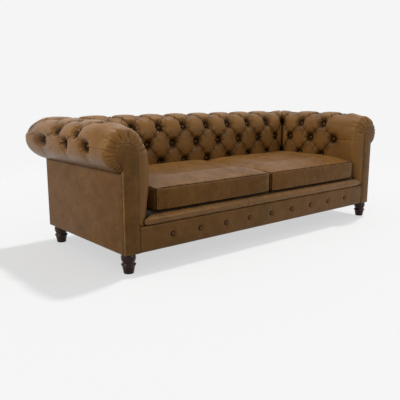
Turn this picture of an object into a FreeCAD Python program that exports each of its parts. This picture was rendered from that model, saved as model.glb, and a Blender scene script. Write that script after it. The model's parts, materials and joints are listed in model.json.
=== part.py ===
# Three-seat chesterfield sofa: deep-buttoned rolled arms and back at one height,
# two loose seat cushions, a rolled front lip over a buttoned border, turned feet.
# Frame: +Z up, +X to the right of someone who looks at its front, front towards -Y.
# Origin: on the floor, under the middle of the whole sofa. Millimetres.
import FreeCAD, Part
import math
import os

V = FreeCAD.Vector

# Driving dimensions of the body
body_width = 2100.0        # across the outside arm panels
body_depth = 870.0         # facing boards to outside back panel
foot_height = 100.0        # floor to the underside of the body
arm_top = 755.0            # floor to the crest of the roll
roll_radius = 125.0
roll_overhang = 95.0       # roll beyond the outside panels
lip_proud = 12.0           # front lip ahead of the facings

# Buttoning
back_gaps = 9              # diamonds from corner to corner along the back
arm_columns = 5            # half columns of buttons from the corner along each arm
arm_pitch = 105.5          # one half column on the arms
inside_pad = 128.0         # outside panel to the buttons of the inside face
tuft_depth = 38.0          # leather crown above a button on the inside face
roll_tuft_depth = 41.0     # and on the roll
under_tuft_depth = 15.0    # and under the roll
corner_pull = 0.25         # roll drawn in at its mitred corner, to the overhang
mitre_height = 0.75        # and its crown there, to a crown elsewhere
pleat_height = 0.42        # fold midway between two buttons, to the crown's height
pillow_height = 0.88       # leather beside the middle of a diamond, to the crown's height
seat_share = 0.1           # flat under a button, to the distance between two rows
seat_row_z = 436.0
middle_row_z = 560.0
shoulder_row_z = 664.0
button_radius = 11.0
button_height = 8.0

# Foam and timber
core_radius = 76.0         # foam core of the roll
rail_thickness = 30.0
seat_rail_depth = 123.0
post_thickness = 40.0
post_inset = 7.0           # front post inside the edge of its facing
corner_post_depth = 80.0
top_rail_height = 43.0
tack_rail_height = 45.0
wall_inner = 74.0          # outside panel to the inner face of the timber
upright_width = 45.0
back_uprights = 4
arm_uprights = 2
cross_rails = 2
cross_rail_height = 60.0
block_leg = 90.0
block_height = 60.0

# Panels, boards, webbing and covers
leather = 2.0
board = 3.0
facing_thickness = 14.0
facing_width = 87.0
facing_head_radius = 61.5
facing_head_z = 602.0
facing_edge_round = 3.0
ring_width = 22.0          # pleated ring of the arm cover around the facing
pleat_depth = 5.0
ring_turn = 0.77           # how far round under the facing the ring reaches, to the roll
dust_cover_thickness = 1.5
webbing_thickness = 2.0
webbing_width = 60.0
back_webs = 7
arm_webs = 3
fit = 0.3                  # clearance between neighbours that only touch

# Seat deck and front
deck_top = 300.0
deck_foam_height = 62.0
spring_count = 8
spring_wire = 4.0
spring_width = 52.0
spring_pitch = 46.0        # between two cross runs of one spring
clip_length = 44.0
clip_depth = 16.0
clip_sheet = 1.5
lip_radius = 27.0
lip_wall = 5.0
border_height = 135.0
border_setback = 2.0       # border behind the face of the facings
border_buttons = 9
border_button_z = 168.0
border_button_pitch = 189.5
border_button_radius = 9.0
border_dimple = 6.0

# Loose seat cushions
cushion_height = 125.0     # base to the front seam
cushion_crown = 24.0       # middle of the top above its seams
cushion_side_gap = 14.0    # to the fullest point of the arm
cushion_back_gap = 8.0
cushion_front_setback = 3.0
cushion_middle_gap = 3.0
cushion_draw_in = 10.0     # corners drawn in from the middle of each side
cushion_corner = 15.0
cushion_bulge = 4.0
cushion_wall = 12.0        # leather with its fibre wrap
zip_height = 22.0
zip_thickness = 3.0
zip_length = 560.0

# Turned feet
foot_inset_side = 39.0
foot_inset_front = 40.0
foot_inset_back = 73.0
foot_bulb_radius = 38.0
foot_neck_radius = 31.0
foot_base_radius = 26.0
bolt_radius = 4.0
bolt_length = 90.0

# Places that follow from them
half_width = body_width / 2
overall_depth = lip_proud + body_depth + roll_overhang
front_y = -overall_depth / 2
facing_y = front_y + lip_proud
back_y = facing_y + body_depth
roll_s = roll_overhang - roll_radius
roll_z = arm_top - roll_radius
under_z = roll_z - roll_radius + 3.0
tuck_z = deck_top - 10.0
tuck_s = -inside_pad - 12.0
shoulder_degrees = 159.0
shoulder_s = -inside_pad + 10.0
core_face = inside_pad - 10.0
timber_bottom = foot_height + leather
seat_rail_top = timber_bottom + seat_rail_depth
top_rail_z = roll_z - core_radius
top_rail_top = top_rail_z + top_rail_height
wall_outer = leather + board + fit
wall_void = wall_inner + webbing_thickness + 2 * fit
head_s = facing_head_radius - facing_width
post_front_y = facing_y + facing_thickness
post_back_y = post_front_y + post_thickness
rail_front_y = post_back_y - rail_thickness
border_y = facing_y + border_setback
border_top = foot_height + border_height
lip_y = front_y + lip_radius
lip_z = border_top + lip_radius
front_x = half_width - facing_width - fit
deck_half_width = half_width + tuck_s - 6.0
deck_front_y = lip_y + lip_radius + fit
deck_back_y = back_y + tuck_s - 6.0
back_pitch = 2 * (half_width + shoulder_s) / (2 * back_gaps)

os.makedirs("parts", exist_ok=True)


def save(name, solids):
    shape = solids[0] if len(solids) == 1 else Part.makeCompound(solids)
    shape.exportStep("parts/" + name + ".step")


def box(x, y, z):
    """A box from three pairs of limits, given in any order."""
    sides = [sorted(pair) for pair in (x, y, z)]
    low = V(*[s[0] for s in sides])
    return Part.makeBox(*[s[1] - s[0] for s in sides], low)


def mirrored(shape):
    return shape.mirror(V(0, 0, 0), V(1, 0, 0))


def flat(corners):
    return Part.Face(Part.makePolygon(corners + corners[:1]))


def enclosed(faces):
    """The solid inside a closed skin of faces."""
    shell = Part.makeShell(faces)
    shell.sewShape()
    solid = Part.Solid(shell)
    if solid.Volume < 0:
        solid.reverse()
    return solid


def split(a, b, c, d):
    """Two flat faces over four corners, along the diagonal that stands further out."""
    if (a + c - b - d).dot((c - a).cross(d - b)) > 0:
        return [flat([a, b, c]), flat([a, c, d])]
    return [flat([a, b, d]), flat([b, c, d])]


def save_pair(name, solids):
    save("right_" + name, solids)
    save("left_" + name, [mirrored(s) for s in solids])


# The section of the padded wall lies in s, measured out from the outside panel, and z.
def polar(centre, radius, degrees):
    a = math.radians(degrees)
    return (centre[0] + radius * math.cos(a), centre[1] + radius * math.sin(a))


def mix(p, q, share):
    return tuple(a + (b - a) * share for a, b in zip(p, q))


# Rows of the buttoning, from the deck up the inside face, over the roll and under it:
# -1 tuck, 0 seat, 1 middle, 2 shoulder, 3 crest, 4 and 5 outside, 6 and 7 underneath.
# Rows on the roll are held as degrees, then radius at the button and at the crown.
face_rows = [((tuck_s, tuck_z), (tuck_s, tuck_z)),
             ((-inside_pad, seat_row_z), (-inside_pad - tuft_depth, seat_row_z)),
             ((-inside_pad - 4.0, middle_row_z), (-inside_pad - 4.0 - tuft_depth, middle_row_z))]
shoulder_radius = math.dist((shoulder_s, shoulder_row_z), (roll_s, roll_z))
roll_rows = [(shoulder_degrees, shoulder_radius, shoulder_radius + tuft_depth),
             (93.0, roll_radius - roll_tuft_depth, roll_radius),
             (33.0, roll_radius - roll_tuft_depth, roll_radius),
             (1.0, roll_radius - roll_tuft_depth, roll_radius),
             (-48.0, roll_radius - under_tuft_depth, roll_radius),
             (-76.0, roll_radius, roll_radius)]
button_rows = (0, 1, 2, 3, 4, 5)
last_row = 7.0


def skin(row, height):
    """Place of the leather at a row, from 0 at a button to 1 at a crown."""
    if row >= 2:
        i = min(int(row) - 2, len(roll_rows) - 2)
        degrees, low, high = mix(roll_rows[i], roll_rows[i + 1], row - 2 - i)
        return polar((roll_s, roll_z), low + (high - low) * height, degrees)
    ends = face_rows + [(skin(2, 0.0), skin(2, 1.0))]
    i = min(int(math.floor(row)) + 1, len(ends) - 2)
    low, high = (mix(a, b, row + 1 - i) for a, b in zip(ends[i], ends[i + 1]))
    return mix(low, high, height)


def pillow(start, end, fold, crown):
    """Rows and heights of four straight runs over one swelling of leather, fold to fold."""
    shoulder = fold + (crown - fold) * 0.83
    shape = ((0.0, fold), (0.22, shoulder), (0.5, crown), (0.78, shoulder))
    return [(start + (end - start) * t, h) for t, h in shape]


def tufted_rows(share):
    """Rows and heights a share of the way from an even column of buttons to an odd one."""
    f = min(max(share, seat_share), 1 - seat_share)
    fold = pleat_height if share == 0.5 else 0.04
    heights = {0.0: (0.0, 1.0), 0.5: (pillow_height,) * 2, 1.0: (1.0, 0.0)}
    even, odd = heights[share]
    folds = [-1.0, -f, f, 2 - f, 2 + f, 4 - f, 4 + f]
    places = pillow(folds[0], folds[1], 0.04, odd)
    for i, (a, b) in enumerate(zip(folds[1:-1], folds[2:])):
        places += pillow(a, b, fold, odd if i % 2 else even)
    channel = max(odd, 0.2)
    return places + [(4 + f, fold), (5 + f / 2, odd), (5.7, channel), (6.3, channel),
                     (last_row, 1.0)]


def tufted_line(quarter):
    """The leather of a section, drawn in at the mitred corner of the roll."""
    pull = 1 - corner_pull * lean(quarter) ** 2
    points = []
    for row, height in tufted_rows((0.0, 0.5, 1.0, 0.5)[quarter % 4]):
        if quarter == 0 and row > 2.5:
            height = mitre_height
        s, z = skin(row, height)
        points.append((s * pull if s > 0 and row < last_row else s, z))
    return points


def plain_line():
    """The same number of points on a section without buttons."""
    return [skin(row, pillow_height) for row, _ in tufted_rows(0.5)[:-1]] + [skin(last_row, 1.0)]


def core_line(radius):
    """Straight cuts round the foam core of the roll."""
    reach = radius / math.cos(math.radians(24.0))
    return [polar((roll_s, roll_z), reach, d) for d in (-60.0, -12.0, 36.0, 84.0, 130.0)]


def lining_line():
    """From under the roll, back over the foam core, down to the deck."""
    inner = -core_face - fit
    heel = (-leather - board, under_z)
    return [heel] + core_line(core_radius + fit) + [(inner, shoulder_row_z - 24.0), (inner, tuck_z)]


def collar_line():
    """The same number of points close around the facing board."""
    reach = (facing_head_radius + 1.0) / math.cos(math.radians(30.0))
    ring = [polar((head_s, facing_head_z), reach, d) for d in (-58.0, 0.0, 60.0, 120.0, 172.0)]
    inner = -facing_width - 1.0
    heel = (2.0, facing_head_z - facing_head_radius)
    return [heel] + ring + [(inner, facing_head_z - 24.0), (inner, tuck_z)]


def onto_ring(p, reach):
    """The place beside the facing board that a point of the section is drawn to."""
    if p[0] < head_s and p[1] < facing_head_z:
        return (-facing_width - reach, p[1])
    degrees = math.degrees(math.atan2(p[1] - facing_head_z, p[0] - head_s))
    if degrees < 0:
        degrees *= ring_turn
    return polar((head_s, facing_head_z), facing_head_radius + reach, degrees)


def drawn_line(share):
    """The plain section, gathered by a share towards the facing board. It pleats as it narrows."""
    return [mix(p, onto_ring(p, ring_width - pleat_depth * (i % 2)), share)
            for i, p in enumerate(plain_line())] + collar_line()


def stand(points, station, slope, along_back):
    """Stand a section up. slope turns its plane, up to the mitre of the corner at 1."""
    corners = []
    for s, z in points:
        t = station + slope * (s - shoulder_s)
        corners.append(V(t, back_y + s, z) if along_back else V(half_width + s, t, z))
    return corners


def run_between(sections, leather_points):
    """Faces of one run of sections: each cell of the leather in two, each strip of lining whole."""
    first, last = sections[0], sections[-1]
    faces = []
    for a, b in zip(sections, sections[1:]):
        for i in range(leather_points - 1):
            faces += split(a[i], a[i + 1], b[i + 1], b[i])
    for i in range(leather_points, len(first) - 1):
        faces += split(first[i], first[i + 1], last[i + 1], last[i])
    for edge, neighbour in ((leather_points - 1, leather_points), (0, len(first) - 1)):
        rim = [section[edge] for section in sections]
        if len(rim) == 2:
            faces += split(rim[0], rim[1], last[neighbour], first[neighbour])
        else:
            faces.append(flat(rim + [last[neighbour], first[neighbour]]))
    return faces


def prism_between(near, far):
    """Solid between two outlines of as many corners."""
    sides = [flat([a, b, c, d]) for a, b, c, d in
             zip(near, near[1:] + near[:1], far[1:] + far[:1], far)]
    return enclosed([flat(near), flat(far)] + sides)


def tuft_section(quarter):
    """Full section for a place counted in quarter columns from the corner."""
    return tufted_line(min(quarter, 4 * back_gaps - quarter)) + lining_line()


def lean(quarter):
    return max(0.0, 1.0 - quarter / 4.0) ** 1.3


def back_stations():
    """Quarter column, x and lean of each section of the back, from right to left."""
    last = 4 * back_gaps
    first = half_width + shoulder_s
    return [(q, first - q * back_pitch / 2, lean(q) - lean(last - q)) for q in range(last + 1)]


def arm_stations():
    first = back_y + shoulder_s
    return [(q, first - q * arm_pitch / 2, lean(q)) for q in range(2 * arm_columns + 1)]


def stand_in_back(points, x, slope):
    """Sections that lean to the left end are the mirror of those of the right end."""
    if slope < 0:
        return [V(-p.x, p.y, p.z) for p in stand(points, -x, -slope, True)]
    return stand(points, x, slope, True)


def back_cover():
    sections = [stand_in_back(tuft_section(q), x, slope) for q, x, slope in back_stations()]
    ends = [flat(sections[0]), flat(sections[-1])]
    return enclosed(ends + run_between(sections, len(plain_line())))


def arm_cover():
    count = len(plain_line())
    tufted = [stand(tuft_section(q), y, slope, False) for q, y, slope in arm_stations()]
    last_buttons = arm_stations()[-1][1]
    plain = plain_line() + lining_line()
    for share in (0.5, 1.0):
        tufted.append(stand(plain, last_buttons + (post_back_y + fit - last_buttons) * share,
                            0.0, False))
    depth = post_back_y - facing_y
    drawn = [tufted[-1]] + [stand(drawn_line(share), facing_y + depth * step, 0.0, False)
                            for share, step in ((0.12, 0.5), (0.45, 0.2), (1.0, 0.05))]
    faces = [flat(tufted[0]), flat(drawn[-1])] + run_between(tufted, count)
    for pair in zip(drawn, drawn[1:]):
        faces += run_between(pair, count)
    return enclosed(faces)


def eight_sided(point, direction, radius, end_radius, height):
    """Eight-sided dome or dish, as light as a small round thing can be."""
    axis = FreeCAD.Rotation(V(0, 0, 1), direction)
    return prism_between(*[[point + axis.multVec(V(*polar((0, 0), r, 45 * i), h))
                            for i in range(8)] for r, h in ((radius, 0.0), (end_radius, height))])


# Foam inside the covers, and the timber inside the foam
def foam_line():
    core = core_line(core_radius)
    outer = -wall_outer + fit
    return core + [(-core_face, shoulder_row_z - 24.0), (-core_face, tuck_z), (-wall_void, tuck_z),
                   (-wall_void, top_rail_top + fit), (outer, top_rail_top + fit), (outer, core[0][1])]


def back_foam():
    x = half_width + shoulder_s
    return prism_between(*[stand_in_back(foam_line(), side * x, side) for side in (1.0, -1.0)])


def arm_foam():
    return prism_between(stand(foam_line(), back_y + shoulder_s, 1.0, False),
                         stand(foam_line(), post_back_y + fit, 0.0, False))


def arm_board(s0, s1, y0, y1, z0, z1):
    return box((half_width + s0, half_width + s1), (y0, y1), (z0, z1))


def back_board(x0, x1, s0, s1, z0, z1):
    return box((x0, x1), (back_y + s0, back_y + s1), (z0, z1))


def across(point, direction, radius, length):
    return Part.makeCylinder(radius, length, point, direction)


def foot_places():
    x = half_width - foot_inset_side
    front, rear = facing_y + foot_inset_front, back_y - foot_inset_back
    return [(x, front), (-x, front), (x, rear), (-x, rear)]


def bolt(x, y, clearance):
    """Hanger bolt, half in the foot and half in the frame, or the hole for it."""
    low = V(x, y, foot_height - bolt_length / 2 + fit - clearance)
    radius = bolt_radius + clearance
    return eight_sided(low, V(0, 0, 1), radius, radius, bolt_length - 2 * (fit - clearance))


def bolt_holes(shape):
    for x, y in foot_places():
        shape = shape.cut(bolt(x, y, fit))
    return shape


def facing_face(inset, y, lowest, outer):
    """Scroll outline of the facing, or of the post behind it."""
    r = facing_head_radius - inset
    left = head_s - r
    joint_z = facing_head_z - math.sqrt(r * r - (outer - head_s) ** 2)
    joint_angle = math.degrees(math.atan2(joint_z - facing_head_z, outer - head_s))
    centre = (head_s, facing_head_z)

    def at(p):
        return V(half_width + p[0], y, p[1])
    head = (left, facing_head_z)
    side = polar(centre, r, 0)
    joint = (outer, joint_z)
    edges = [Part.makeLine(at((outer, lowest)), at((left, lowest))),
             Part.makeLine(at((left, lowest)), at(head)),
             Part.Arc(at(head), at(polar(centre, r, 90)), at(side)).toShape(),
             Part.Arc(at(side), at(polar(centre, r, joint_angle / 2)), at(joint)).toShape(),
             Part.makeLine(at(joint), at((outer, lowest)))]
    return Part.Face(Part.Wire(edges))


def facing():
    blank = facing_face(0.0, facing_y, foot_height, 0.0).extrude(V(0, facing_thickness, 0))
    rim = []
    for edge in blank.Edges:
        ys = [v.Point.y for v in edge.Vertexes]
        if max(ys) < facing_y + fit and edge.BoundBox.ZMax > foot_height + fit:
            rim.append(edge)
    return blank.makeChamfer(facing_edge_round, rim)


def front_post():
    face = facing_face(post_inset, post_front_y + fit, timber_bottom, -wall_outer)
    return bolt_holes(face.extrude(V(0, post_thickness - fit, 0)))


def even(count, low, high):
    """Centres of count equal bays between two limits."""
    bay = (high - low) / count
    return [low + bay * (i + 0.5) for i in range(count)]


def build_timber():
    rail_inner = -wall_inner + rail_thickness
    post_x = half_width - wall_inner
    corner_y = back_y - wall_outer - corner_post_depth - 10.0
    save_pair("front_post", [front_post()])
    post = box((post_x, half_width - wall_outer), (corner_y, back_y - wall_outer),
               (timber_bottom, top_rail_top))
    post = bolt_holes(post)
    save("back_corner_posts", [post, mirrored(post)])

    rail_x = half_width - facing_width + post_inset - fit
    save("front_seat_rail", [box((-rail_x, rail_x), (rail_front_y, post_back_y),
                                 (timber_bottom, seat_rail_top))])
    save("back_seat_rail", [back_board(-post_x, post_x, -wall_inner, rail_inner,
                                       timber_bottom, seat_rail_top)])
    save_pair("side_seat_rail", [arm_board(-wall_inner, rail_inner, post_back_y, corner_y,
                                           timber_bottom, seat_rail_top)])
    save("back_top_rail", [back_board(-post_x, post_x, -wall_inner, -wall_outer,
                                      top_rail_z, top_rail_top)])
    save_pair("arm_top_rail", [arm_board(-wall_inner, -wall_outer, post_back_y, corner_y,
                                         top_rail_z, top_rail_top)])
    tack_z = tuck_z - tack_rail_height
    save("back_tack_rail", [back_board(-post_x, post_x, -wall_inner, rail_inner, tack_z, tuck_z)])
    save_pair("arm_tack_rail", [arm_board(-wall_inner, rail_inner, post_back_y, corner_y,
                                          tack_z, tuck_z)])
    uprights = []
    for x in even(back_uprights, -post_x, post_x):
        uprights.append(back_board(x - upright_width / 2, x + upright_width / 2,
                                   rail_inner, -wall_outer, timber_bottom, top_rail_z))
    save("back_uprights", uprights)
    uprights = []
    for y in even(arm_uprights, post_back_y, corner_y):
        uprights.append(arm_board(rail_inner, -wall_outer, y - upright_width / 2,
                                  y + upright_width / 2, timber_bottom, top_rail_z))
    save_pair("arm_uprights", uprights)

    rails = []
    for x in even(cross_rails, -post_x, post_x):
        rails.append(box((x - rail_thickness / 2, x + rail_thickness / 2),
                         (post_back_y, back_y - wall_inner),
                         (timber_bottom, timber_bottom + cross_rail_height)))
    save("seat_cross_rails", rails)

    blocks = []
    for y, turn in ((post_back_y, 1), (back_y - wall_inner, -1)):
        points = [V(post_x, y, timber_bottom), V(post_x - block_leg, y, timber_bottom),
                  V(post_x, y + turn * block_leg, timber_bottom)]
        block = Part.Face(Part.makePolygon(points + points[:1])).extrude(V(0, 0, block_height))
        blocks += [block, mirrored(block)]
    save("corner_blocks", blocks)


def build_webbing():
    low, high = tuck_z - tack_rail_height, top_rail_top
    s0, s1 = -wall_inner - webbing_thickness - fit, -wall_inner - fit
    span = half_width - wall_inner
    save("back_webbing", [back_board(x - webbing_width / 2, x + webbing_width / 2, s0, s1, low, high)
                          for x in even(back_webs, -span, span)])
    ends = (post_back_y, back_y - wall_inner - corner_post_depth)
    save_pair("arm_webbing", [arm_board(s0, s1, y - webbing_width / 2, y + webbing_width / 2,
                                        low, high) for y in even(arm_webs, *ends)])


def spring(x, y0, y1, z):
    runs = int((y1 - y0) // spring_pitch)
    step = (y1 - y0) / runs
    h, w = spring_width / 2, spring_wire / 2
    bars = []
    for i in range(runs + 1):
        y = y0 + i * step
        bars.append(box((x - h, x + h), (y - w, y + w), (z, z + spring_wire)))
        if i < runs:
            side = x + (h - w if i % 2 else w - h)
            bars.append(box((side - w, side + w), (y + w, y + step - w), (z, z + spring_wire)))
    return bars[0].multiFuse(bars[1:]).removeSplitter()


def clip(x, y, z, turn):
    """Folded steel clip that holds the end run of a spring on its rail."""
    tall = spring_wire + 2 * clip_sheet + 2 * fit
    block = box((x - clip_length / 2, x + clip_length / 2), (y, y + turn * clip_depth), (z, z + tall))
    slot = box((x - clip_length, x + clip_length),
               (y + turn * clip_sheet, y + turn * 2 * clip_depth),
               (z + clip_sheet, z + tall - clip_sheet))
    return block.cut(slot)


def build_deck():
    clip_z = seat_rail_top
    wire_z = clip_z + clip_sheet + fit
    front_clip_y = post_back_y - clip_depth - 4.0
    back_clip_y = back_y - wall_inner + clip_depth + 4.0
    springs, clips = [], []
    for x in even(spring_count, -deck_half_width, deck_half_width):
        y0 = front_clip_y + clip_sheet + fit + spring_wire / 2
        y1 = back_clip_y - clip_sheet - fit - spring_wire / 2
        springs.append(spring(x, y0, y1, wire_z))
        clips.append(clip(x, front_clip_y, clip_z, 1))
        clips.append(clip(x, back_clip_y, clip_z, -1))
    save("seat_springs", springs)
    save("spring_clips", clips)

    def layer(z0, z1):
        return box((-deck_half_width, deck_half_width), (deck_front_y, deck_back_y), (z0, z1))
    foam_top = deck_top - leather - fit
    foam_low = foam_top - deck_foam_height
    save("spring_cloth", [layer(wire_z + spring_wire + clip_sheet + 2 * fit, foam_low - fit)])
    save("deck_foam", [layer(foam_low, foam_top)])
    save("deck_cover", [layer(deck_top - leather, deck_top)])


def build_front():
    left, length = V(-front_x, lip_y, lip_z), 2 * front_x
    tube = across(left, V(1, 0, 0), lip_radius, length)
    bore = across(left, V(1, 0, 0), lip_radius - lip_wall, length)
    save("front_lip_cover", [tube.cut(bore)])
    save("front_lip_foam", [across(left, V(1, 0, 0), lip_radius - lip_wall - fit, length)])

    y = border_y
    panel = box((-front_x, front_x), (y, rail_front_y - fit), (foot_height, border_top - fit))
    buttons = []
    for i in range(border_buttons):
        x = (i - (border_buttons - 1) / 2) * border_button_pitch
        mouth, seat = V(x, y, border_button_z), V(x, y + border_dimple, border_button_z)
        wide, narrow = border_button_radius + border_dimple, border_button_radius + fit
        panel = panel.cut(eight_sided(mouth, V(0, 1, 0), wide, narrow, border_dimple))
        buttons.append(eight_sided(seat - V(0, fit, 0), V(0, -1, 0), border_button_radius,
                                   border_button_radius * 0.6, border_dimple))
    save("front_border", [panel])
    save("border_buttons", buttons)


def buttons_at(quarter, station, slope, along_back, pitch):
    """Buttons of one section. Each rests on the leather that rises to both sides of it."""
    made = []
    for row in button_rows:
        if (row % 2 == 1) != (quarter % 4 == 2):
            continue
        pit, crown = skin(row, 0.0), skin(row, 1.0)
        depth = math.dist(pit, crown)
        fan = min(lean(quarter - 1) - lean(quarter), lean(quarter) - lean(quarter + 1))
        spacing = pitch / 2 + fan * (pit[0] - shoulder_s)
        lift = depth * pillow_height * (button_radius + fit) / spacing + 3 * fit
        out = mix((0, 0), (crown[0] - pit[0], crown[1] - pit[1]), 1 / depth)
        seat = mix(pit, crown, lift / depth)
        t = station + slope * (seat[0] - shoulder_s)
        if along_back:
            point, direction = V(t, back_y + seat[0], seat[1]), V(0, out[0], out[1])
        else:
            point, direction = V(half_width + seat[0], t, seat[1]), V(out[0], 0, out[1])
        made.append(eight_sided(point, direction, button_radius, button_radius * 0.6,
                                button_height))
    return made


def build_upholstery():
    save("tufted_back_cover", [back_cover()])
    save("back_foam", [back_foam()])
    save_pair("tufted_arm_cover", [arm_cover()])
    save_pair("arm_foam", [arm_foam()])
    made = []
    for quarter, x, slope in back_stations()[2:-2:2]:
        if slope < 0:
            mate = 4 * back_gaps - quarter
            made += [mirrored(b) for b in buttons_at(mate, -x, -slope, True, back_pitch)]
        else:
            made += buttons_at(quarter, x, slope, True, back_pitch)
    save("back_buttons", made)
    made = []
    for quarter, y, slope in arm_stations()[2::2]:
        made += buttons_at(quarter, y, slope, False, arm_pitch)
    save_pair("arm_buttons", made)
    save_pair("facing", [facing()])


def build_panels():
    top = under_z - fit
    start = post_front_y + fit
    save_pair("outside_arm_panel", [arm_board(-leather, 0, start, back_y, foot_height, top)])
    save_pair("arm_liner_board", [arm_board(-leather - board, -leather, start,
                                            back_y - leather - board - fit, timber_bottom, top)])
    x = half_width - leather - fit
    save("outside_back_panel", [back_board(-x, x, -leather, 0, foot_height, top)])
    save("back_liner_board", [back_board(-x, x, -leather - board, -leather, timber_bottom, top)])
    edge = half_width - wall_outer
    cover = box((-edge, edge), (rail_front_y, back_y - wall_outer),
                (foot_height + fit, foot_height + fit + dust_cover_thickness))
    save("dust_cover", [bolt_holes(cover)])


# Loose cushions
def cushion_section(x, low, high, inset, crown, pull):
    """Closed line across a cushion: flat base, bowed front and back, crowned top."""
    y0, z0 = low[0] + inset + pull, low[1] + inset
    y1, z1 = high[0] - inset - pull, high[1] - inset
    r = cushion_corner
    k = r * (1 - math.sqrt(0.5))
    bow = cushion_bulge
    points = [((y0 + r, z0), None, (y1 - r, z0)),
              ((y1 - r, z0), (y1 - k, z0 + k), (y1, z0 + r)),
              ((y1, z0 + r), (y1 + bow, (z0 + z1) / 2), (y1, z1 - r)),
              ((y1, z1 - r), (y1 - k, z1 - k), (y1 - r, z1)),
              ((y1 - r, z1), ((y0 + y1) / 2, z1 + crown), (y0 + r, z1)),
              ((y0 + r, z1), (y0 + k, z1 - k), (y0, z1 - r)),
              ((y0, z1 - r), (y0 - bow, (z0 + z1) / 2), (y0, z0 + r)),
              ((y0, z0 + r), (y0 + k, z0 + k), (y0 + r, z0))]
    edges = []
    for start, mid, end in points:
        ends = [V(x, *start), V(x, *end)]
        if mid is None:
            edges.append(Part.makeLine(*ends))
        else:
            edges.append(Part.Arc(ends[0], V(x, *mid), ends[1]).toShape())
    return Part.Wire(edges)


def cushion_limits():
    low = (facing_y + cushion_front_setback + cushion_bulge, deck_top + fit)
    high = (back_y - inside_pad - tuft_depth - cushion_back_gap - cushion_bulge,
            deck_top + fit + cushion_height)
    return low, high


def cushion(x0, x1, inset):
    low, high = cushion_limits()
    a, b = x0 + inset, x1 - inset
    wires = []
    for share in (0.0, 0.008, 0.03, 0.16, 0.5, 0.84, 0.97, 0.992, 1.0):
        x = a + (b - a) * share
        middle = 1 - (2 * share - 1) ** 4
        near = min(x - a, b - x)
        round_in = max(0.0, 1 - near / cushion_corner) ** 2 * cushion_corner * 0.8
        wires.append(cushion_section(x, low, high, inset + round_in, cushion_crown * middle + 2.0,
                                     cushion_draw_in * (1 - middle)))
    return Part.makeLoft(wires, True, True)


def cushion_core(x0, x1, inset):
    """Cut foam slab with its long edges bevelled."""
    (y0, z0), (y1, z1) = cushion_limits()
    y0, y1 = y0 + inset + cushion_draw_in, y1 - inset - cushion_draw_in
    z0, z1 = z0 + inset, z1 - inset + cushion_crown / 2
    bevel = 2 * cushion_corner
    corners = [(y0, z0), (y1, z0), (y1, z1 - bevel), (y1 - bevel, z1), (y0 + bevel, z1),
               (y0, z1 - bevel)]
    corners = [V(x0 + inset, y, z) for y, z in corners]
    face = Part.Face(Part.makePolygon(corners + corners[:1]))
    return face.extrude(V(x1 - x0 - 2 * inset, 0, 0))


def build_cushions():
    inner = cushion_middle_gap / 2
    outer = half_width - inside_pad - tuft_depth - cushion_side_gap
    core = cushion_core(inner, outer, cushion_wall)
    save_pair("cushion_cover", [cushion(inner, outer, 0.0).cut(core)])
    save_pair("cushion_foam", [cushion_core(inner, outer, cushion_wall + fit)])
    y = back_y - inside_pad - tuft_depth - cushion_back_gap + fit
    middle = (inner + outer) / 2
    z = deck_top + cushion_height / 2
    save_pair("cushion_zip", [box((middle - zip_length / 2, middle + zip_length / 2),
                                  (y, y + zip_thickness), (z - zip_height / 2, z + zip_height / 2))])


def foot(x, y):
    """Turned foot: tapered stem, sharp ring, neck and bulb, turned from straight cuts."""
    profile = ((0.0, 0.0), (foot_base_radius, 0.0), (foot_bulb_radius - 4.0, 0.42),
               (foot_bulb_radius, 0.48), (foot_neck_radius, 0.57),
               (foot_neck_radius + 2.0, 0.68), (foot_bulb_radius, 0.84),
               (foot_bulb_radius - 4.0, 1.0), (0.0, 1.0))
    corners = [V(x + r, y, foot_height * share) for r, share in profile]
    blank = Part.Face(Part.makePolygon(corners + corners[:1]))
    return blank.revolve(V(x, y, 0), V(0, 0, 1), 360).cut(bolt(x, y, fit))


def build_feet():
    feet = [foot(x, y) for x, y in foot_places()]
    save("front_feet", feet[:2])
    save("back_feet", feet[2:])
    save("foot_bolts", [bolt(x, y, 0.0) for x, y in foot_places()])


build_timber()
build_webbing()
build_deck()
build_front()
build_upholstery()
build_panels()
build_cushions()
build_feet()
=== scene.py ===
import json
import math
import bmesh
import bpy
import numpy as np
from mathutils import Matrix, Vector
from mathutils.bvhtree import BVHTree


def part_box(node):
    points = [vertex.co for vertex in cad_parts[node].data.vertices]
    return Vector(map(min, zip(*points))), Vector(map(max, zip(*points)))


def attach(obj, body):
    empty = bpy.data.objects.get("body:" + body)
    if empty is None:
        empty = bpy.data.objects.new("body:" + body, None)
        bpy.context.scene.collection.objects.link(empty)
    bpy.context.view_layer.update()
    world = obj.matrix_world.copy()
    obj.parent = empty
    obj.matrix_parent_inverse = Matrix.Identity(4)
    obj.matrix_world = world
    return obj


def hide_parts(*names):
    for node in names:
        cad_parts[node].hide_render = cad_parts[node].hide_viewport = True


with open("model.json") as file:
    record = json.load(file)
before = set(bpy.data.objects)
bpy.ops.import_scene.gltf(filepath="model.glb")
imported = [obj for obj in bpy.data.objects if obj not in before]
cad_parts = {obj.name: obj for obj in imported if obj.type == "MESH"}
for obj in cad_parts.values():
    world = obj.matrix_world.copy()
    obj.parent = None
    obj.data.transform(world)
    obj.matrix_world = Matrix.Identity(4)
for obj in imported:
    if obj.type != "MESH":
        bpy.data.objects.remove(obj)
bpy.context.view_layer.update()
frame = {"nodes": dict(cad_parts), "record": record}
print("frame loaded:", len(frame["nodes"]), "nodes")

# what every piece of the sofa shares, in metres
sideLow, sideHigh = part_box("right_outside_arm_panel")
backLow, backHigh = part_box("outside_back_panel")
facingLow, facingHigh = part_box("right_facing")
sofa = {"halfWidth": sideHigh.x, "backY": backHigh.y, "facingY": facingLow.y,
        "facingBackY": facingHigh.y, "bodyBottom": facingLow.z}


def newObject(name, data):
    made = bpy.data.objects.new(name, data)
    bpy.context.scene.collection.objects.link(made)
    return made


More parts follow.
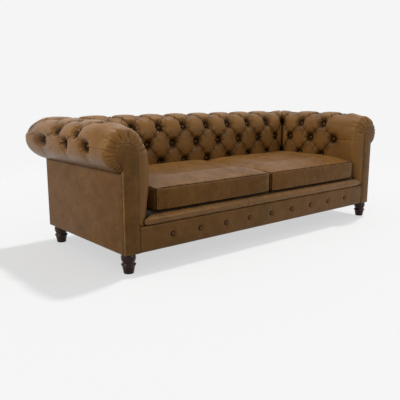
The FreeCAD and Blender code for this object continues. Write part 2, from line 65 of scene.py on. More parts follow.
def setNormalsAndShade(mesh):
    bm = bmesh.new()
    bm.from_mesh(mesh)
    bmesh.ops.recalc_face_normals(bm, faces=bm.faces)
    bm.to_mesh(mesh)
    bm.free()
    mesh.polygons.foreach_set("use_smooth", [True] * len(mesh.polygons))
    mesh.update()


def newPiece(name, verts, faces, mat, attributes=None):
    mesh = bpy.data.meshes.new(name)
    mesh.from_pydata(np.asarray(verts, dtype=float).tolist(), [], faces)
    for key, values in (attributes or {}).items():
        isVector = values.ndim == 2
        layer = mesh.attributes.new(key, "FLOAT_VECTOR" if isVector else "FLOAT", "POINT")
        layer.data.foreach_set("vector" if isVector else "value", values.ravel())
    mesh.materials.append(mat)
    setNormalsAndShade(mesh)
    return newObject(name, mesh)


def pointsOf(mesh):
    co = np.empty(len(mesh.vertices) * 3)
    mesh.vertices.foreach_get("co", co)
    return co.reshape(-1, 3)


def mirroredCopy(piece, name):
    mesh = piece.data.copy()
    mesh.name = name
    co = pointsOf(mesh)
    co[:, 0] *= -1
    mesh.vertices.foreach_set("co", co.ravel())
    mesh.flip_normals()
    mesh.update()
    return newObject(name, mesh)


def inOneMesh(parts):
    verts, faces = [], []
    for more, flat in parts:
        faces += [tuple(i + len(verts) for i in face) for face in flat]
        verts += more
    return verts, faces


def endCaps(rings, count):
    return [tuple(range(count)), tuple(range((rings - 1) * count, rings * count))]


def ringFaces(rings, count):
    # quads between closed rings of points, and a flat cap at each end
    faces = []
    for r in range(rings - 1):
        a, b = r * count, (r + 1) * count
        for i in range(count):
            j = (i + 1) % count
            faces.append((a + i, a + j, b + j, b + i))
    return faces + endCaps(rings, count)


def ringPiece(name, rings, mat, attributes=None):
    rings = np.asarray(rings)
    return newPiece(name, rings.reshape(-1, 3), ringFaces(*rings.shape[:2]), mat, attributes)


def evaluated(piece):
    return piece.evaluated_get(bpy.context.evaluated_depsgraph_get())


def bakeModifiers(piece):
    mesh = bpy.data.meshes.new_from_object(evaluated(piece))
    piece.modifiers.clear()
    piece.data = mesh


def smoothStep(low, high, x):
    t = np.clip((x - low) / (high - low), 0, 1)
    return t * t * (3 - 2 * t)


def hump(x, centre, width):
    return np.exp(-(((x - centre) / width) ** 2))


def rounding(edge, width):  # 1 at an edge, falling to 0 at this distance from it
    return (1 - np.clip(edge / width, 0, 1)) ** 2


def lattice(i, j, k=0.0):  # repeatable numbers from 0 to 1
    n = np.sin(i * 12.9898 + j * 78.233 + k * 37.719) * 43758.5453
    return n - np.floor(n)


def ripple(x, y, size, seed=0.0):  # soft unevenness of hand-drawn leather, about -1 to 1
    total, waves = 0.0, 5
    for i in range(waves):
        turn = 2.4 * i + seed
        wave = math.tau / size * (0.7 + 0.33 * i)
        total = total + np.sin(wave * (x * math.cos(turn) + y * math.sin(turn)) + 1.7 * i + seed)
    return total / waves


# materials: colours are linear, scales are per metre and depths are in metres
leather = {
    "deep": (0.0125, 0.0050, 0.0016),
    "dark": (0.082, 0.0365, 0.0095),
    "mid": (0.133, 0.0615, 0.0160),
    "light": (0.234, 0.115, 0.0340),
    "sheen": (1.0, 0.74, 0.47, 1),
    "roughness": (0.24, 0.41),
    "cloudScale": 2.3, "mottleScale": 16.0, "mottle": 0.46,
    "crackleScale": 60.0, "crackle": 0.30, "wearScale": 11.0,
    "grainScale": 420.0, "poreScale": 900.0, "grainDepth": 0.00035,
    "creaseScale": 34.0, "creaseDepth": 0.0016,
}
# the fold, crown and pit amounts below are painted shade in the folds and pits and a painted highlight on the
# crowns
tufting = {
    "paintedFoldShade": 0.92, "paintedCrownHighlight": 0.58, "paintedPitShade": 0.80, "pitReach": 0.044,
    "puckers": 9.0, "puckerReach": 0.050, "puckerDepth": 0.0050,
}
seaming = {
    "gathers": 410.0, "gatherReach": 0.024, "gatherDepth": 0.0026,
    "lineWidth": 0.0054, "lineDepth": 0.0030, "lineShade": 0.85,
    # where and how strong the painted highlight beside the seam is
    "paintedHighlightAt": 0.0075, "paintedHighlightWidth": 0.004, "paintedHighlight": 0.30,
}
wood = {"across": 9.0, "along": 0.8, "rings": 14 / 9, "pores": 22.0, "gloss": 0.22}


def shader(name):
    mat = bpy.data.materials.new(name)
    mat.use_nodes = True
    tree = mat.node_tree
    place = add(tree, "ShaderNodeTexCoord").outputs["Object"]
    return mat, tree, tree.nodes["Principled BSDF"], place


def setInputs(node, values):
    for key, value in values.items():
        if isinstance(value, bpy.types.NodeSocket):
            node.id_data.links.new(value, node.inputs[key])
        else:
            node.inputs[key].default_value = value


def add(tree, kind, settings=None, **inputs):
    node = tree.nodes.new(kind)
    for key, value in (settings or {}).items():
        setattr(node, key, value)
    setInputs(node, inputs)
    return node


# each of these works in the tree that its first socket belongs to
def mixColour(factor, a, b):
    node = add(factor.id_data, "ShaderNodeMix", {"data_type": "RGBA"})
    a, b = ((*colour, 1) if isinstance(colour, tuple) else colour for colour in (a, b))
    setInputs(node, {0: factor, 6: a, 7: b})
    return node.outputs[2]


def ranged(value, *limits, smooth=False):  # from low and high to 0 and 1, or to the next two limits
    node = add(value.id_data, "ShaderNodeMapRange", {"interpolation_type": "SMOOTHSTEP" if smooth else "LINEAR"})
    setInputs(node, dict(enumerate((value, *limits))))
    return node.outputs[0]


def sums(operation, a, b=0.0):
    node = add(a.id_data, "ShaderNodeMath", {"operation": operation})
    setInputs(node, {0: a, 1: b})
    return node.outputs[0]


def times(a, b):
    return sums("MULTIPLY", a, b)


def noise(place, scale, detail=4.0, rough=0.5, distort=0.0):
    return add(place.id_data, "ShaderNodeTexNoise", Vector=place, Scale=scale, Detail=detail,
               Roughness=rough, Distortion=distort).outputs["Fac"]


def attribute(tree, name, output):
    return add(tree, "ShaderNodeAttribute", {"attribute_name": name}).outputs[output]


def bumped(height, distance, strength, under=None):
    node = add(height.id_data, "ShaderNodeBump", Height=height, Distance=distance, Strength=strength)
    if under:
        setInputs(node, {"Normal": under})
    return node.outputs["Normal"]


def tuftedPaintedShadeAndPuckers(tree, place, shade, colour, normal):
    # painted shade in the folds and round each pit and a painted highlight on the crowns, with fine puckers round
    # each button
    crown = attribute(tree, "crown", "Fac")
    fold = ranged(crown, 0.02, 0.74, tufting["paintedFoldShade"], 0.0, smooth=True)
    top = ranged(crown, 0.80, 1.02, 0.0, tufting["paintedCrownHighlight"], smooth=True)
    across, up, seed = add(tree, "ShaderNodeSeparateXYZ", Vector=attribute(tree, "pucker", "Vector")).outputs
    reach = sums("SQRT", sums("ADD", times(across, across), times(up, up)))
    # painted shade round each button's pit
    pit = ranged(reach, 0.004, tufting["pitReach"], tufting["paintedPitShade"], 0.0, smooth=True)
    for factor, paintedLightTone in ((fold, "deep"), (top, "light"), (pit, "deep")):
        colour = mixColour(factor, colour, shade[paintedLightTone])
    turn = sums("ADD", times(sums("ARCTAN2", up, across), tufting["puckers"]), times(seed, 6.28))
    wave = sums("SINE", sums("ADD", turn, times(noise(place, 22.0, 3.0), 5.0)))
    fade = ranged(reach, 0.010, tufting["puckerReach"], 1.0, 0.0, smooth=True)
    return colour, bumped(times(wave, fade), tufting["puckerDepth"], 0.85, normal)


def seamLineAndPaintedHighlight(tree, place, shade, colour, normal):
    # a sewn line along the edges, with short gathers that come and go beside it, and a painted highlight on the
    # edge just beside the line
    away = attribute(tree, "seam", "Fac")
    x, y, _ = add(tree, "ShaderNodeSeparateXYZ", Vector=place).outputs
    along = times(sums("ADD", x, y), seaming["gathers"])
    wave = sums("SINE", sums("ADD", along, times(noise(place, 21.0, 5.0), 46.0)))
    fade = ranged(away, 0.001, seaming["gatherReach"], 1.0, 0.0, smooth=True)
    patches = ranged(noise(place, 12.0, 3.0), 0.46, 0.60)
    normal = bumped(times(wave, times(fade, patches)), seaming["gatherDepth"], 0.75, normal)
    sewn = ranged(away, 0.0014, seaming["lineWidth"], 1.0, 0.0, smooth=True)
    normal = bumped(times(sewn, -1.0), seaming["lineDepth"], 0.8, normal)
    # a painted highlight in a band just beside the sewn line
    beside = sums("ABSOLUTE", sums("SUBTRACT", away, seaming["paintedHighlightAt"]))
    paintedHighlight = ranged(beside, 0.0, seaming["paintedHighlightWidth"], seaming["paintedHighlight"], 0.0, smooth=True)
    colour = mixColour(times(sewn, seaming["lineShade"]), colour, shade["deep"])
    return mixColour(paintedHighlight, colour, shade["light"]), normal


def hideMaterial(name, paintedLightTone=1.0, creases=1.0, gloss=0.18, detailAndPaintedLight=None):
    mat, tree, surface, place = shader(name)
    # every colour of this copy of the leather is scaled by its painted-light tone
    shade = {k: tuple(c * paintedLightTone for c in leather[k]) for k in ("deep", "dark", "mid", "light")}
    clouds = ranged(noise(place, leather["cloudScale"], 3.0, 0.55, 0.4), 0.32, 0.68)
    mottle = ranged(noise(place, leather["mottleScale"], 6.0, 0.62, 0.8), 0.36, 0.72)
    crackle = ranged(noise(place, leather["crackleScale"], 8.0, 0.7, 1.2), 0.60, 0.78, 0.0, leather["crackle"])
    colour = mixColour(clouds, shade["dark"], shade["mid"])
    colour = mixColour(times(mottle, leather["mottle"]), colour, shade["light"])
    colour = mixColour(crackle, colour, shade["deep"])
    wear = ranged(noise(place, leather["wearScale"], 5.0, 0.6), 0.3, 0.7, *leather["roughness"])
    cells = add(tree, "ShaderNodeTexVoronoi", {"feature": "SMOOTH_F1"}, Vector=place,
                Scale=leather["grainScale"], Smoothness=0.6).outputs["Distance"]
    pores = times(noise(place, leather["poreScale"], 2.0), 0.5)
    normal = bumped(sums("ADD", cells, pores), leather["grainDepth"], 0.45)
    wrinkles = noise(place, leather["creaseScale"], 7.0, 0.62, 1.6)
    normal = bumped(wrinkles, leather["creaseDepth"] * creases, 0.42, normal)
    if detailAndPaintedLight:
        colour, normal = detailAndPaintedLight(tree, place, shade, colour, normal)
    setInputs(surface, {"Base Color": colour, "Roughness": wear, "Normal": normal,
                        "Specular IOR Level": gloss, "Specular Tint": leather["sheen"]})
    return mat


def woodMaterial(name, dark, light, rough, axis):
    mat, tree, surface, place = shader(name)
    stretch = [wood["across"]] * 3
    stretch[axis] = wood["along"]
    laid, fine = (add(tree, "ShaderNodeMapping", Vector=place, Scale=[s * finer for s in stretch])
                  .outputs["Vector"] for finer in (1, wood["pores"]))
    grain = add(tree, "ShaderNodeTexWave", {"bands_direction": "DIAGONAL"}, Vector=laid,
                Scale=wood["rings"], Distortion=5.0, Detail=4.0).outputs["Fac"]
    pores = noise(fine, 1.0, 3.0)
    colour = mixColour(ranged(grain, 0.1, 0.9), dark, light)
    colour = mixColour(ranged(pores, 0.55, 0.75, 0.0, 0.5), colour, dark)
    setInputs(surface, {"Base Color": colour, "Roughness": rough, "Specular IOR Level": wood["gloss"],
                        "Normal": bumped(pores, 0.0003, 0.25)})
    return mat


def clothMaterial(name, dark, light, threads, rough=0.9):
    mat, tree, surface, place = shader(name)
    warp, weft, rise = (add(tree, "ShaderNodeTexWave", {"bands_direction": axis}, Vector=place,
                            Scale=threads, Distortion=0.6).outputs["Fac"] for axis in "XYZ")
    weave = sums("ADD", times(warp, weft), times(rise, 0.5))
    patchy = ranged(noise(place, 7.0), 0.4, 0.7, 0.0, 0.35)
    colour = mixColour(patchy, mixColour(ranged(weave, 0.1, 1.1), dark, light), dark)
    setInputs(surface, {"Base Color": colour, "Roughness": rough, "Normal": bumped(weave, 0.0004, 0.5)})
    return mat


def grittyMaterial(name, dark, light, scale, rough, metal=0.0, depth=0.0003):
    mat, _, surface, place = shader(name)
    speck = noise(place, scale, 5.0, 0.6)
    setInputs(surface, {"Base Color": mixColour(ranged(speck, 0.35, 0.65), dark, light),
                        "Roughness": ranged(speck, 0.3, 0.7, rough - 0.06, rough + 0.06),
                        "Metallic": metal, "Normal": bumped(speck, depth, 0.4)})
    return mat


# one leather in lit and shaded copies: each tone is painted light, lighter on the lip, cushions and facings and
# darker on the outside panels and the buttons
plainHide = hideMaterial("plain_hide", paintedLightTone=1.06)
lipHide = hideMaterial("lip_hide", paintedLightTone=1.34, gloss=0.34)
panelHide = hideMaterial("panel_hide", paintedLightTone=0.96, creases=0.3, gloss=0.07)
cushionHide = hideMaterial("cushion_hide", paintedLightTone=1.08, creases=0.8, gloss=0.10, detailAndPaintedLight=seamLineAndPaintedHighlight)
tuftedHide = hideMaterial("tufted_hide", creases=2.0, detailAndPaintedLight=tuftedPaintedShadeAndPuckers)
buttonHide = hideMaterial("button_hide", paintedLightTone=0.85, creases=0.2)
threadMat = clothMaterial("tan_thread", (0.10, 0.050, 0.022), (0.26, 0.14, 0.065), 900.0, 0.7)
polishedFoot = woodMaterial("espresso_wood", (0.019, 0.0055, 0.0024), (0.052, 0.016, 0.007), 0.20, 2)
frameWood = woodMaterial("frame_hardwood", (0.42, 0.28, 0.15), (0.62, 0.46, 0.28), 0.60, 0)
boardMat = grittyMaterial("fibreboard", (0.30, 0.22, 0.14), (0.45, 0.35, 0.24), 240.0, 0.85)
foamMat = grittyMaterial("cut_foam", (0.70, 0.62, 0.42), (0.86, 0.80, 0.62), 500.0, 0.95)
blackCloth = clothMaterial("black_cloth", (0.008, 0.008, 0.008), (0.035, 0.034, 0.032), 260.0)
deckCloth = clothMaterial("deck_cloth", (0.022, 0.014, 0.009), (0.060, 0.040, 0.025), 320.0)
steelMat = grittyMaterial("zinc_steel", (0.34, 0.34, 0.35), (0.55, 0.55, 0.57), 90.0, 0.38, 1.0, 0.0001)
zipMat = clothMaterial("zip_tape", (0.03, 0.016, 0.009), (0.09, 0.052, 0.030), 500.0, 0.7)
print("materials made")

nodeFinish = {"timber": frameWood, "board": boardMat, "foam": foamMat, "cloth": blackCloth,
              "steel": steelMat, "zips": zipMat, "feet": polishedFoot, "leather": plainHide,
              "buttons": buttonHide}
for subpart in frame["record"]["subparts"]:
    node = frame["nodes"][subpart["node"]]
    node.data.materials.clear()
    node.data.materials.append(nodeFinish[subpart["material_slot"]])

# the buttoned wall: its section is measured out from the outside panel, s, and up, z
wall = {
    "rollRadius": 0.125, "rollOverhang": 0.095, "top": 0.755,
    "rollTuft": 0.041, "underTuft": 0.015, "tuft": 0.038,
    "shoulder": (-0.118, 0.664), "middle": (-0.132, 0.560), "seat": (-0.128, 0.436),
    "tuck": (-0.140, 0.290),
    "rollDegrees": [159.0, 93.0, 33.0, 1.0, -48.0, -76.0],
    "rows": 6, "backGaps": 9, "armColumns": 5, "armPitch": 0.1055, "cellsPerColumn": 20,
    "rowLength": [0.146, 0.124, 0.105, 0.112, 0.118, 0.064, 0.105, 0.060],
    "facePleat": 0.68, "rollPleat": 0.84, "steep": 0.30, "soft": 0.78, "foldSoft": 0.35,
    "plump": 0.94, "plumpVaries": 0.08, "crease": 0.10, "creaseWidth": 0.035,
    "fluteSoft": 0.84, "fluteFirm": 0.50, "fluteFull": 0.97, "rollEndFull": 0.93,
    "pitFrom": 0.003, "pitPower": 0.8, "pleatRows": (1.6, 3.2), "endRows": (5.8, 6.8),
    "shallowRows": (2.2, 3.4), "insideTo": 1.7, "leanPower": 1.3,
    "pitRadius": 0.050, "held": 0.45, "pucker": 0.085, "puckerAt": 0.026, "puckerWidth": 0.013,
    "cornerPull": 0.06, "cornerFill": 0.86, "insideMitre": 0.42, "outsideMitre": 0.16,
    "mitreWidth": 0.10, "cornerWidth": 0.55,
}
rollS, rollZ = wall["rollOverhang"] - wall["rollRadius"], wall["top"] - wall["rollRadius"]
shoulderS = wall["shoulder"][0]
shoulderRadius = math.dist(wall["shoulder"], (rollS, rollZ))
rollLow = [shoulderRadius] + [wall["rollRadius"] - wall["rollTuft"]] * 3 + \
          [wall["rollRadius"] - wall["underTuft"], wall["rollRadius"]]
rollHigh = [shoulderRadius + wall["tuft"]] + [wall["rollRadius"]] * 5
backPitch = (sofa["halfWidth"] + shoulderS) / wall["backGaps"]
cells = wall["cellsPerColumn"]
lastRow = wall["rows"] - 1
rowPlaces = np.concatenate([np.linspace(-1, 0, 8, endpoint=False), np.arange(0, lastRow * cells) / cells,
                            np.linspace(lastRow, 7, 2 * cells + 1)])


def onRoll(radius, degrees):
    return rollS + radius * np.cos(np.radians(degrees)), rollZ + radius * np.sin(np.radians(degrees))


def faceCurve(v, depth):
    # the inside face up to the shoulder, where it runs into the roll
    places = [np.array(p, dtype=float) for p in (wall["tuck"], wall["seat"], wall["middle"])]
    for p in places[1:]:
        p[0] -= depth
    angle = math.radians(wall["rollDegrees"][0])
    radius = shoulderRadius + depth
    places.append(np.array([rollS + radius * math.cos(angle), rollZ + radius * math.sin(angle)]))
    turn = math.radians(wall["rollDegrees"][0] - wall["rollDegrees"][1]) * radius
    tangents = [places[1] - places[0], (places[2] - places[0]) / 2, (places[3] - places[1]) / 2,
                np.array([math.sin(angle), -math.cos(angle)]) * turn]
    k = np.clip(np.floor(v) + 1, 0, 2).astype(int)
    t = (v + 1 - k)[..., None]
    p, q = np.array(places)[k], np.array(places)[k + 1]
    m, n = np.array(tangents)[k], np.array(tangents)[k + 1]
    return ((2 * t ** 3 - 3 * t ** 2 + 1) * p + (t ** 3 - 2 * t ** 2 + t) * m
            + (-2 * t ** 3 + 3 * t ** 2) * q + (t ** 3 - t ** 2) * n)


def sectionPlace(v, h):
    # s and z at row v, from 0 at the foot of a button to 1 at a crown
    knots = np.arange(2, 8)
    radius = np.interp(v, knots, rollLow) * (1 - h) + np.interp(v, knots, rollHigh) * h
    over = np.stack(onRoll(radius, np.interp(v, knots, wall["rollDegrees"])), -1)
    low, high = (faceCurve(np.minimum(v, 2.0), depth) for depth in (0.0, wall["tuft"]))
    face = low + (high - low) * h[..., None]
    return np.where((v >= 2)[..., None], over, face)


def flutes(x, past, pleat):
    # straight pleats below the seat row and under the roll
    bow = np.clip(1 - x * x, 0, 1)
    out = bow ** (wall["fluteSoft"] + (wall["fluteFirm"] - wall["fluteSoft"]) * smoothStep(0, 0.45, past))
    mixed = smoothStep(0, 0.5, past)
    low = pleat * (bow ** wall["foldSoft"] * (1 - mixed) + mixed)
    return low + (1 - low) * out * wall["fluteFull"]


def tuftHeight(u, v):
    # pillows between pits where u + v is even, with a pleat from pit to pit
    p, q = (u + v) / 2, (u - v) / 2
    cellP, cellQ = np.floor(p), np.floor(q)
    a, b = 2 * (p - cellP) - 1, 2 * (q - cellQ) - 1
    down = np.where(cellP - cellQ <= 3, 1.0, -1.0)
    edgeA, edgeB = np.clip(1 - a * a, 0, 1), np.clip(1 - b * b, 0, 1)
    pillow = (wall["plump"] + wall["plumpVaries"] * lattice(cellP, cellQ)) \
        * edgeA ** np.where(a * down < 0, wall["steep"], wall["soft"]) \
        * edgeB ** np.where(b * down > 0, wall["steep"], wall["soft"])
    pleat = wall["facePleat"] + (wall["rollPleat"] - wall["facePleat"]) * smoothStep(*wall["pleatRows"], v)
    fold = pleat * np.maximum(edgeA, edgeB) ** wall["foldSoft"]
    diamonds = fold + (1 - fold) * pillow
    edge = np.minimum(1 - np.abs(a), 1 - np.abs(b))
    diamonds -= wall["crease"] * hump(edge, 0, wall["creaseWidth"]) * np.maximum(edgeA, edgeB)
    below = flutes(np.mod(u, 2) - 1, -v, pleat)
    under = flutes(np.mod(u + 1, 2) - 1, v - lastRow, pleat)
    under = under + (wall["rollEndFull"] - under) * smoothStep(*wall["endRows"], v)
    height = np.where(v < 0, below, np.where(v > lastRow, under, diamonds))
    # each button's pit, with puckers running out of it
    dp, dq = p - np.round(p), q - np.round(q)
    x = (dp + dq) * wall["armPitch"]
    y = (dp - dq) * np.interp(v, np.arange(-0.5, 7), wall["rowLength"])
    reach = np.hypot(x, y)
    seed = lattice(np.round(p), np.round(q), 3.0)
    puckers = np.sin(np.arctan2(y, x) * np.round(6 + 3 * seed) + 6.28 * seed)
    held = (v > -wall["held"]) & (v < lastRow + wall["held"])
    pit = smoothStep(wall["pitFrom"], wall["pitRadius"], reach) ** wall["pitPower"]
    height = np.where(held, height * pit, height)
    height += np.where(held, wall["pucker"] * puckers * hump(reach, wall["puckerAt"], wall["puckerWidth"]), 0)
    # the spot also tells the material where to paint shade round each pit; away from the buttons it is set far
    # off, so no painted pit shade falls there
    spot = np.stack([x, y, seed], -1)
    spot[~held] = (1.0, 1.0, 0.0)
    return height, spot


def lean(u):  # how far a column leans over to the mitre at the back corner
    return np.clip(1 - u / 2, 0, 1) ** wall["leanPower"]


def drawnIn(s, v, tilt):  # the roll's corner is drawn in from its full overhang
    pull = wall["cornerPull"] * tilt ** 2 * smoothStep(0.0, 0.04, s) * (v < 6.99)
    return s * (1 - pull)


def cornerCrease(height, v, u):
    mitre = hump(u, 0, wall["mitreWidth"])
    # no button sits on the corner itself over the roll, so its hollow is shallow
    shallow = hump(u, 0, wall["cornerWidth"]) * smoothStep(*wall["shallowRows"], v) * (height < wall["cornerFill"])
    height = height + (wall["cornerFill"] - height) * shallow
    depth = np.where(v < wall["insideTo"], wall["insideMitre"], wall["outsideMitre"])
    return height * (1 - depth * mitre)


# the hidden side of the wall, from under the roll back round to the seat
lining = {"start": (-0.005, 0.512), "radius": 0.072, "degrees": (-55, -25, 5, 35, 65, 95, 125),
          "face": [(-0.112, 0.632), (-0.112, 0.292)]}
liningLine = np.array([lining["start"]] + [onRoll(lining["radius"], d) for d in lining["degrees"]]
                      + lining["face"])


def liningRows(stations):
    return np.tile(liningLine[:, 0], (stations, 1)), np.tile(liningLine[:, 1], (stations, 1))


def wallFaces(us, vs, count, lastTuft):
    # cells between buttons are cut along their pleat, so that it stays crisp
    faces = []
    for r in range(len(us) - 1):
        a, b = r * count, (r + 1) * count
        column = math.floor((us[r] + us[r + 1]) / 2 + 1e-6)
        for i in range(count):
            j = (i + 1) % count
            quad = (a + i, a + j, b + j, b + i)
            v = (vs[i] + vs[i + 1]) / 2 if i < len(vs) - 1 else -1
            if 0 <= v <= lastRow and us[r + 1] <= lastTuft:
                rising = (column + math.floor(v)) % 2 == 0
                halves = ((0, 1, 2), (0, 2, 3)) if rising else ((0, 1, 3), (1, 2, 3))
                faces += [tuple(quad[k] for k in half) for half in halves]
            else:
                faces.append(quad)
    return faces + endCaps(len(us), count)


def wallPiece(name, us, lastTuft, verts, crown, spot):
    plain = (len(us), len(liningLine))  # the lining isn't tufted
    # crown 1 gives the hidden lining the full painted crown highlight, and spot 1 keeps painted pit shade off it
    crown = np.concatenate([crown, np.ones(plain)], 1).ravel()
    spot = np.concatenate([spot, np.ones(plain + (3,))], 1).reshape(-1, 3)
    faces = wallFaces(us, rowPlaces, verts.shape[1], lastTuft)
    return newPiece(name, verts.reshape(-1, 3), faces, tuftedHide, {"crown": crown, "pucker": spot})


def tuftedBack():
    lastColumn = 2 * wall["backGaps"]
    us = np.arange(0, lastColumn * cells + 1) / cells
    u, v = np.meshgrid(us, rowPlaces, indexing="ij")
    height, spot = tuftHeight(u, v)
    nearEnd = np.minimum(u, lastColumn - u)
    height = cornerCrease(height, v, nearEnd)
    sz = sectionPlace(v, height)
    lineS, lineZ = liningRows(len(us))
    s = np.concatenate([drawnIn(sz[..., 0], v, lean(nearEnd)), lineS], 1)
    z = np.concatenate([sz[..., 1], lineZ], 1)
    slope = lean(u) - lean(lastColumn - u)
    station = (sofa["halfWidth"] + shoulderS) - us * backPitch
    x = station[:, None] + slope[:, :1] * (s - shoulderS)
    return wallPiece("tufted_back", us, lastColumn, np.stack([x, sofa["backY"] + s, z], -1), height, spot)


# the front end of each arm, gathered round its facing board
armEnd = {
    "startY": -0.4235, "endY": sofa["facingY"] + 0.0035, "tucks": [0.003, 0.008],
    "plainStations": 32, "roundStations": 20, "endU": 7.0,
    "headS": -0.0255, "headZ": 0.602, "headRadius": 0.0615, "width": 0.087,
    "overHead": 0.0008, "tuckedHead": -0.0015, "liningHead": -0.0035, "turn": 0.77,
    "pleats": [-66, -52, -40, -29, -18, -6, 8, 23, 42, 72, 100, 122, 141, 158, 172],
    "pleatDepth": 0.0110, "pleatSize": 20.0, "longPleats": [42, 72, 100, 141], "longPleatDepth": 0.0045,
    "plain": 0.94, "unevenness": 0.02,
    "seams": ((1, 99.0), (5, 99.0), (3, 6.0)),  # the row of each, and the column where it ends
    "seamDepth": 0.10, "seamWidth": 0.0035, "rowHeight": 0.11,
    "bandDrop": 0.0532, "bandDropY": (-0.375, -0.415), "bandSwell": 0.22, "bandSwellY": (-0.33, -0.415),
    "bandSwellRows": (0.6, 1.5), "tuftsFade": 0.7, "seamStarts": 0.3, "seamFades": 0.9,
    "settle": 0.26, "settleY": (-0.26, -0.43), "settlePower": 1.4, "settleFrom": (-10, 45),
    "settleTo": (150, 185), "longPleatY": (-0.385, -0.425),
}


def headTarget(s, z, reach):
    head = np.array([armEnd["headS"], armEnd["headZ"]])
    degrees = np.degrees(np.arctan2(z - head[1], s - head[0]))
    turned = np.where(degrees < 0, degrees * armEnd["turn"], degrees)
    low = (s < head[0]) & (z < head[1])
    radius = armEnd["headRadius"] + reach
    ringS = head[0] + radius * np.cos(np.radians(turned))
    ringZ = head[1] + radius * np.sin(np.radians(turned))
    return np.where(low, -armEnd["width"] - reach, ringS), np.where(low, z, ringZ), degrees, low


def gathers(degrees, low):
    # small puffs between pleats that run in to the edge of the facing
    angle = np.where(low, 180.0, degrees)
    marks = np.array([-90.0] + armEnd["pleats"] + [205.0])
    k = np.clip(np.searchsorted(marks, angle) - 1, 0, len(marks) - 2)
    gap = marks[k + 1] - marks[k]
    t = (angle - marks[k]) / gap
    puff = np.clip(4 * t * (1 - t), 0, 1) ** 0.55
    size = np.clip(gap / armEnd["pleatSize"], 0.45, 1.0)
    longOnes = sum(hump(angle, d, 3.0) for d in armEnd["longPleats"])
    return np.where(low, 0.0, (puff - 1) * size), longOnes * ~low


def armStations():
    # from the back corner past the last buttons, then round on to the facing and behind its edge
    tufts = np.arange(0, wall["armColumns"] * cells + 1) / cells
    firstY = sofa["backY"] + shoulderS
    lastY = firstY - wall["armColumns"] * wall["armPitch"]
    plainY = np.linspace(lastY, armEnd["startY"], armEnd["plainStations"])[1:]
    rounds = np.linspace(0, 90, armEnd["roundStations"])[1:]
    roundY = armEnd["startY"] + (armEnd["endY"] - armEnd["startY"]) * np.sin(np.radians(rounds))
    tuckY = [armEnd["endY"] + tuck for tuck in armEnd["tucks"]]
    ys = np.concatenate([firstY - tufts * wall["armPitch"], plainY, roundY, tuckY])
    us = np.concatenate([tufts, wall["armColumns"] + (lastY - plainY) / wall["armPitch"],
                         np.full(len(rounds) + len(tuckY), armEnd["endU"])])
    turn = np.radians(np.concatenate([np.zeros(len(tufts) + len(plainY)), rounds, [90] * len(tuckY)]))
    return us, ys, turn[:, None]


def armHeight(u, v, ys):
    columns = wall["armColumns"]
    height, spot = tuftHeight(np.minimum(u, columns), v)
    plain = armEnd["plain"] + armEnd["unevenness"] * ripple(u * 0.1, v * 0.1, 0.16, 2.0)
    height = height + (plain - height) * smoothStep(columns, columns + armEnd["tuftsFade"], u)
    ahead = u > columns
    for row, last in armEnd["seams"]:
        fold = armEnd["seamDepth"] * hump((v - row) * armEnd["rowHeight"], 0, armEnd["seamWidth"])
        fold = fold * smoothStep(columns, columns + armEnd["seamStarts"], u) \
            * (1 - smoothStep(last - armEnd["seamFades"], last, u))
        height = height - ahead * fold
    # ahead of the buttons the leather draws to these seams
    seamRow = np.clip(2 * np.round((v - 1) / 2) + 1, 1, lastRow)
    # the spot there places the painted pit shade and the puckers just ahead of the last buttons, on the seam rows
    spot[ahead] = np.stack([(u - columns) * wall["armPitch"], (v - seamRow) * armEnd["rowHeight"],
                            np.full_like(u, 0.37)], -1)[ahead]
    height = cornerCrease(height, v, u)
    swell = armEnd["bandSwell"] * smoothStep(*armEnd["bandSwellY"], ys)[:, None]
    return height + swell * (1 - smoothStep(*armEnd["bandSwellRows"], v)), spot


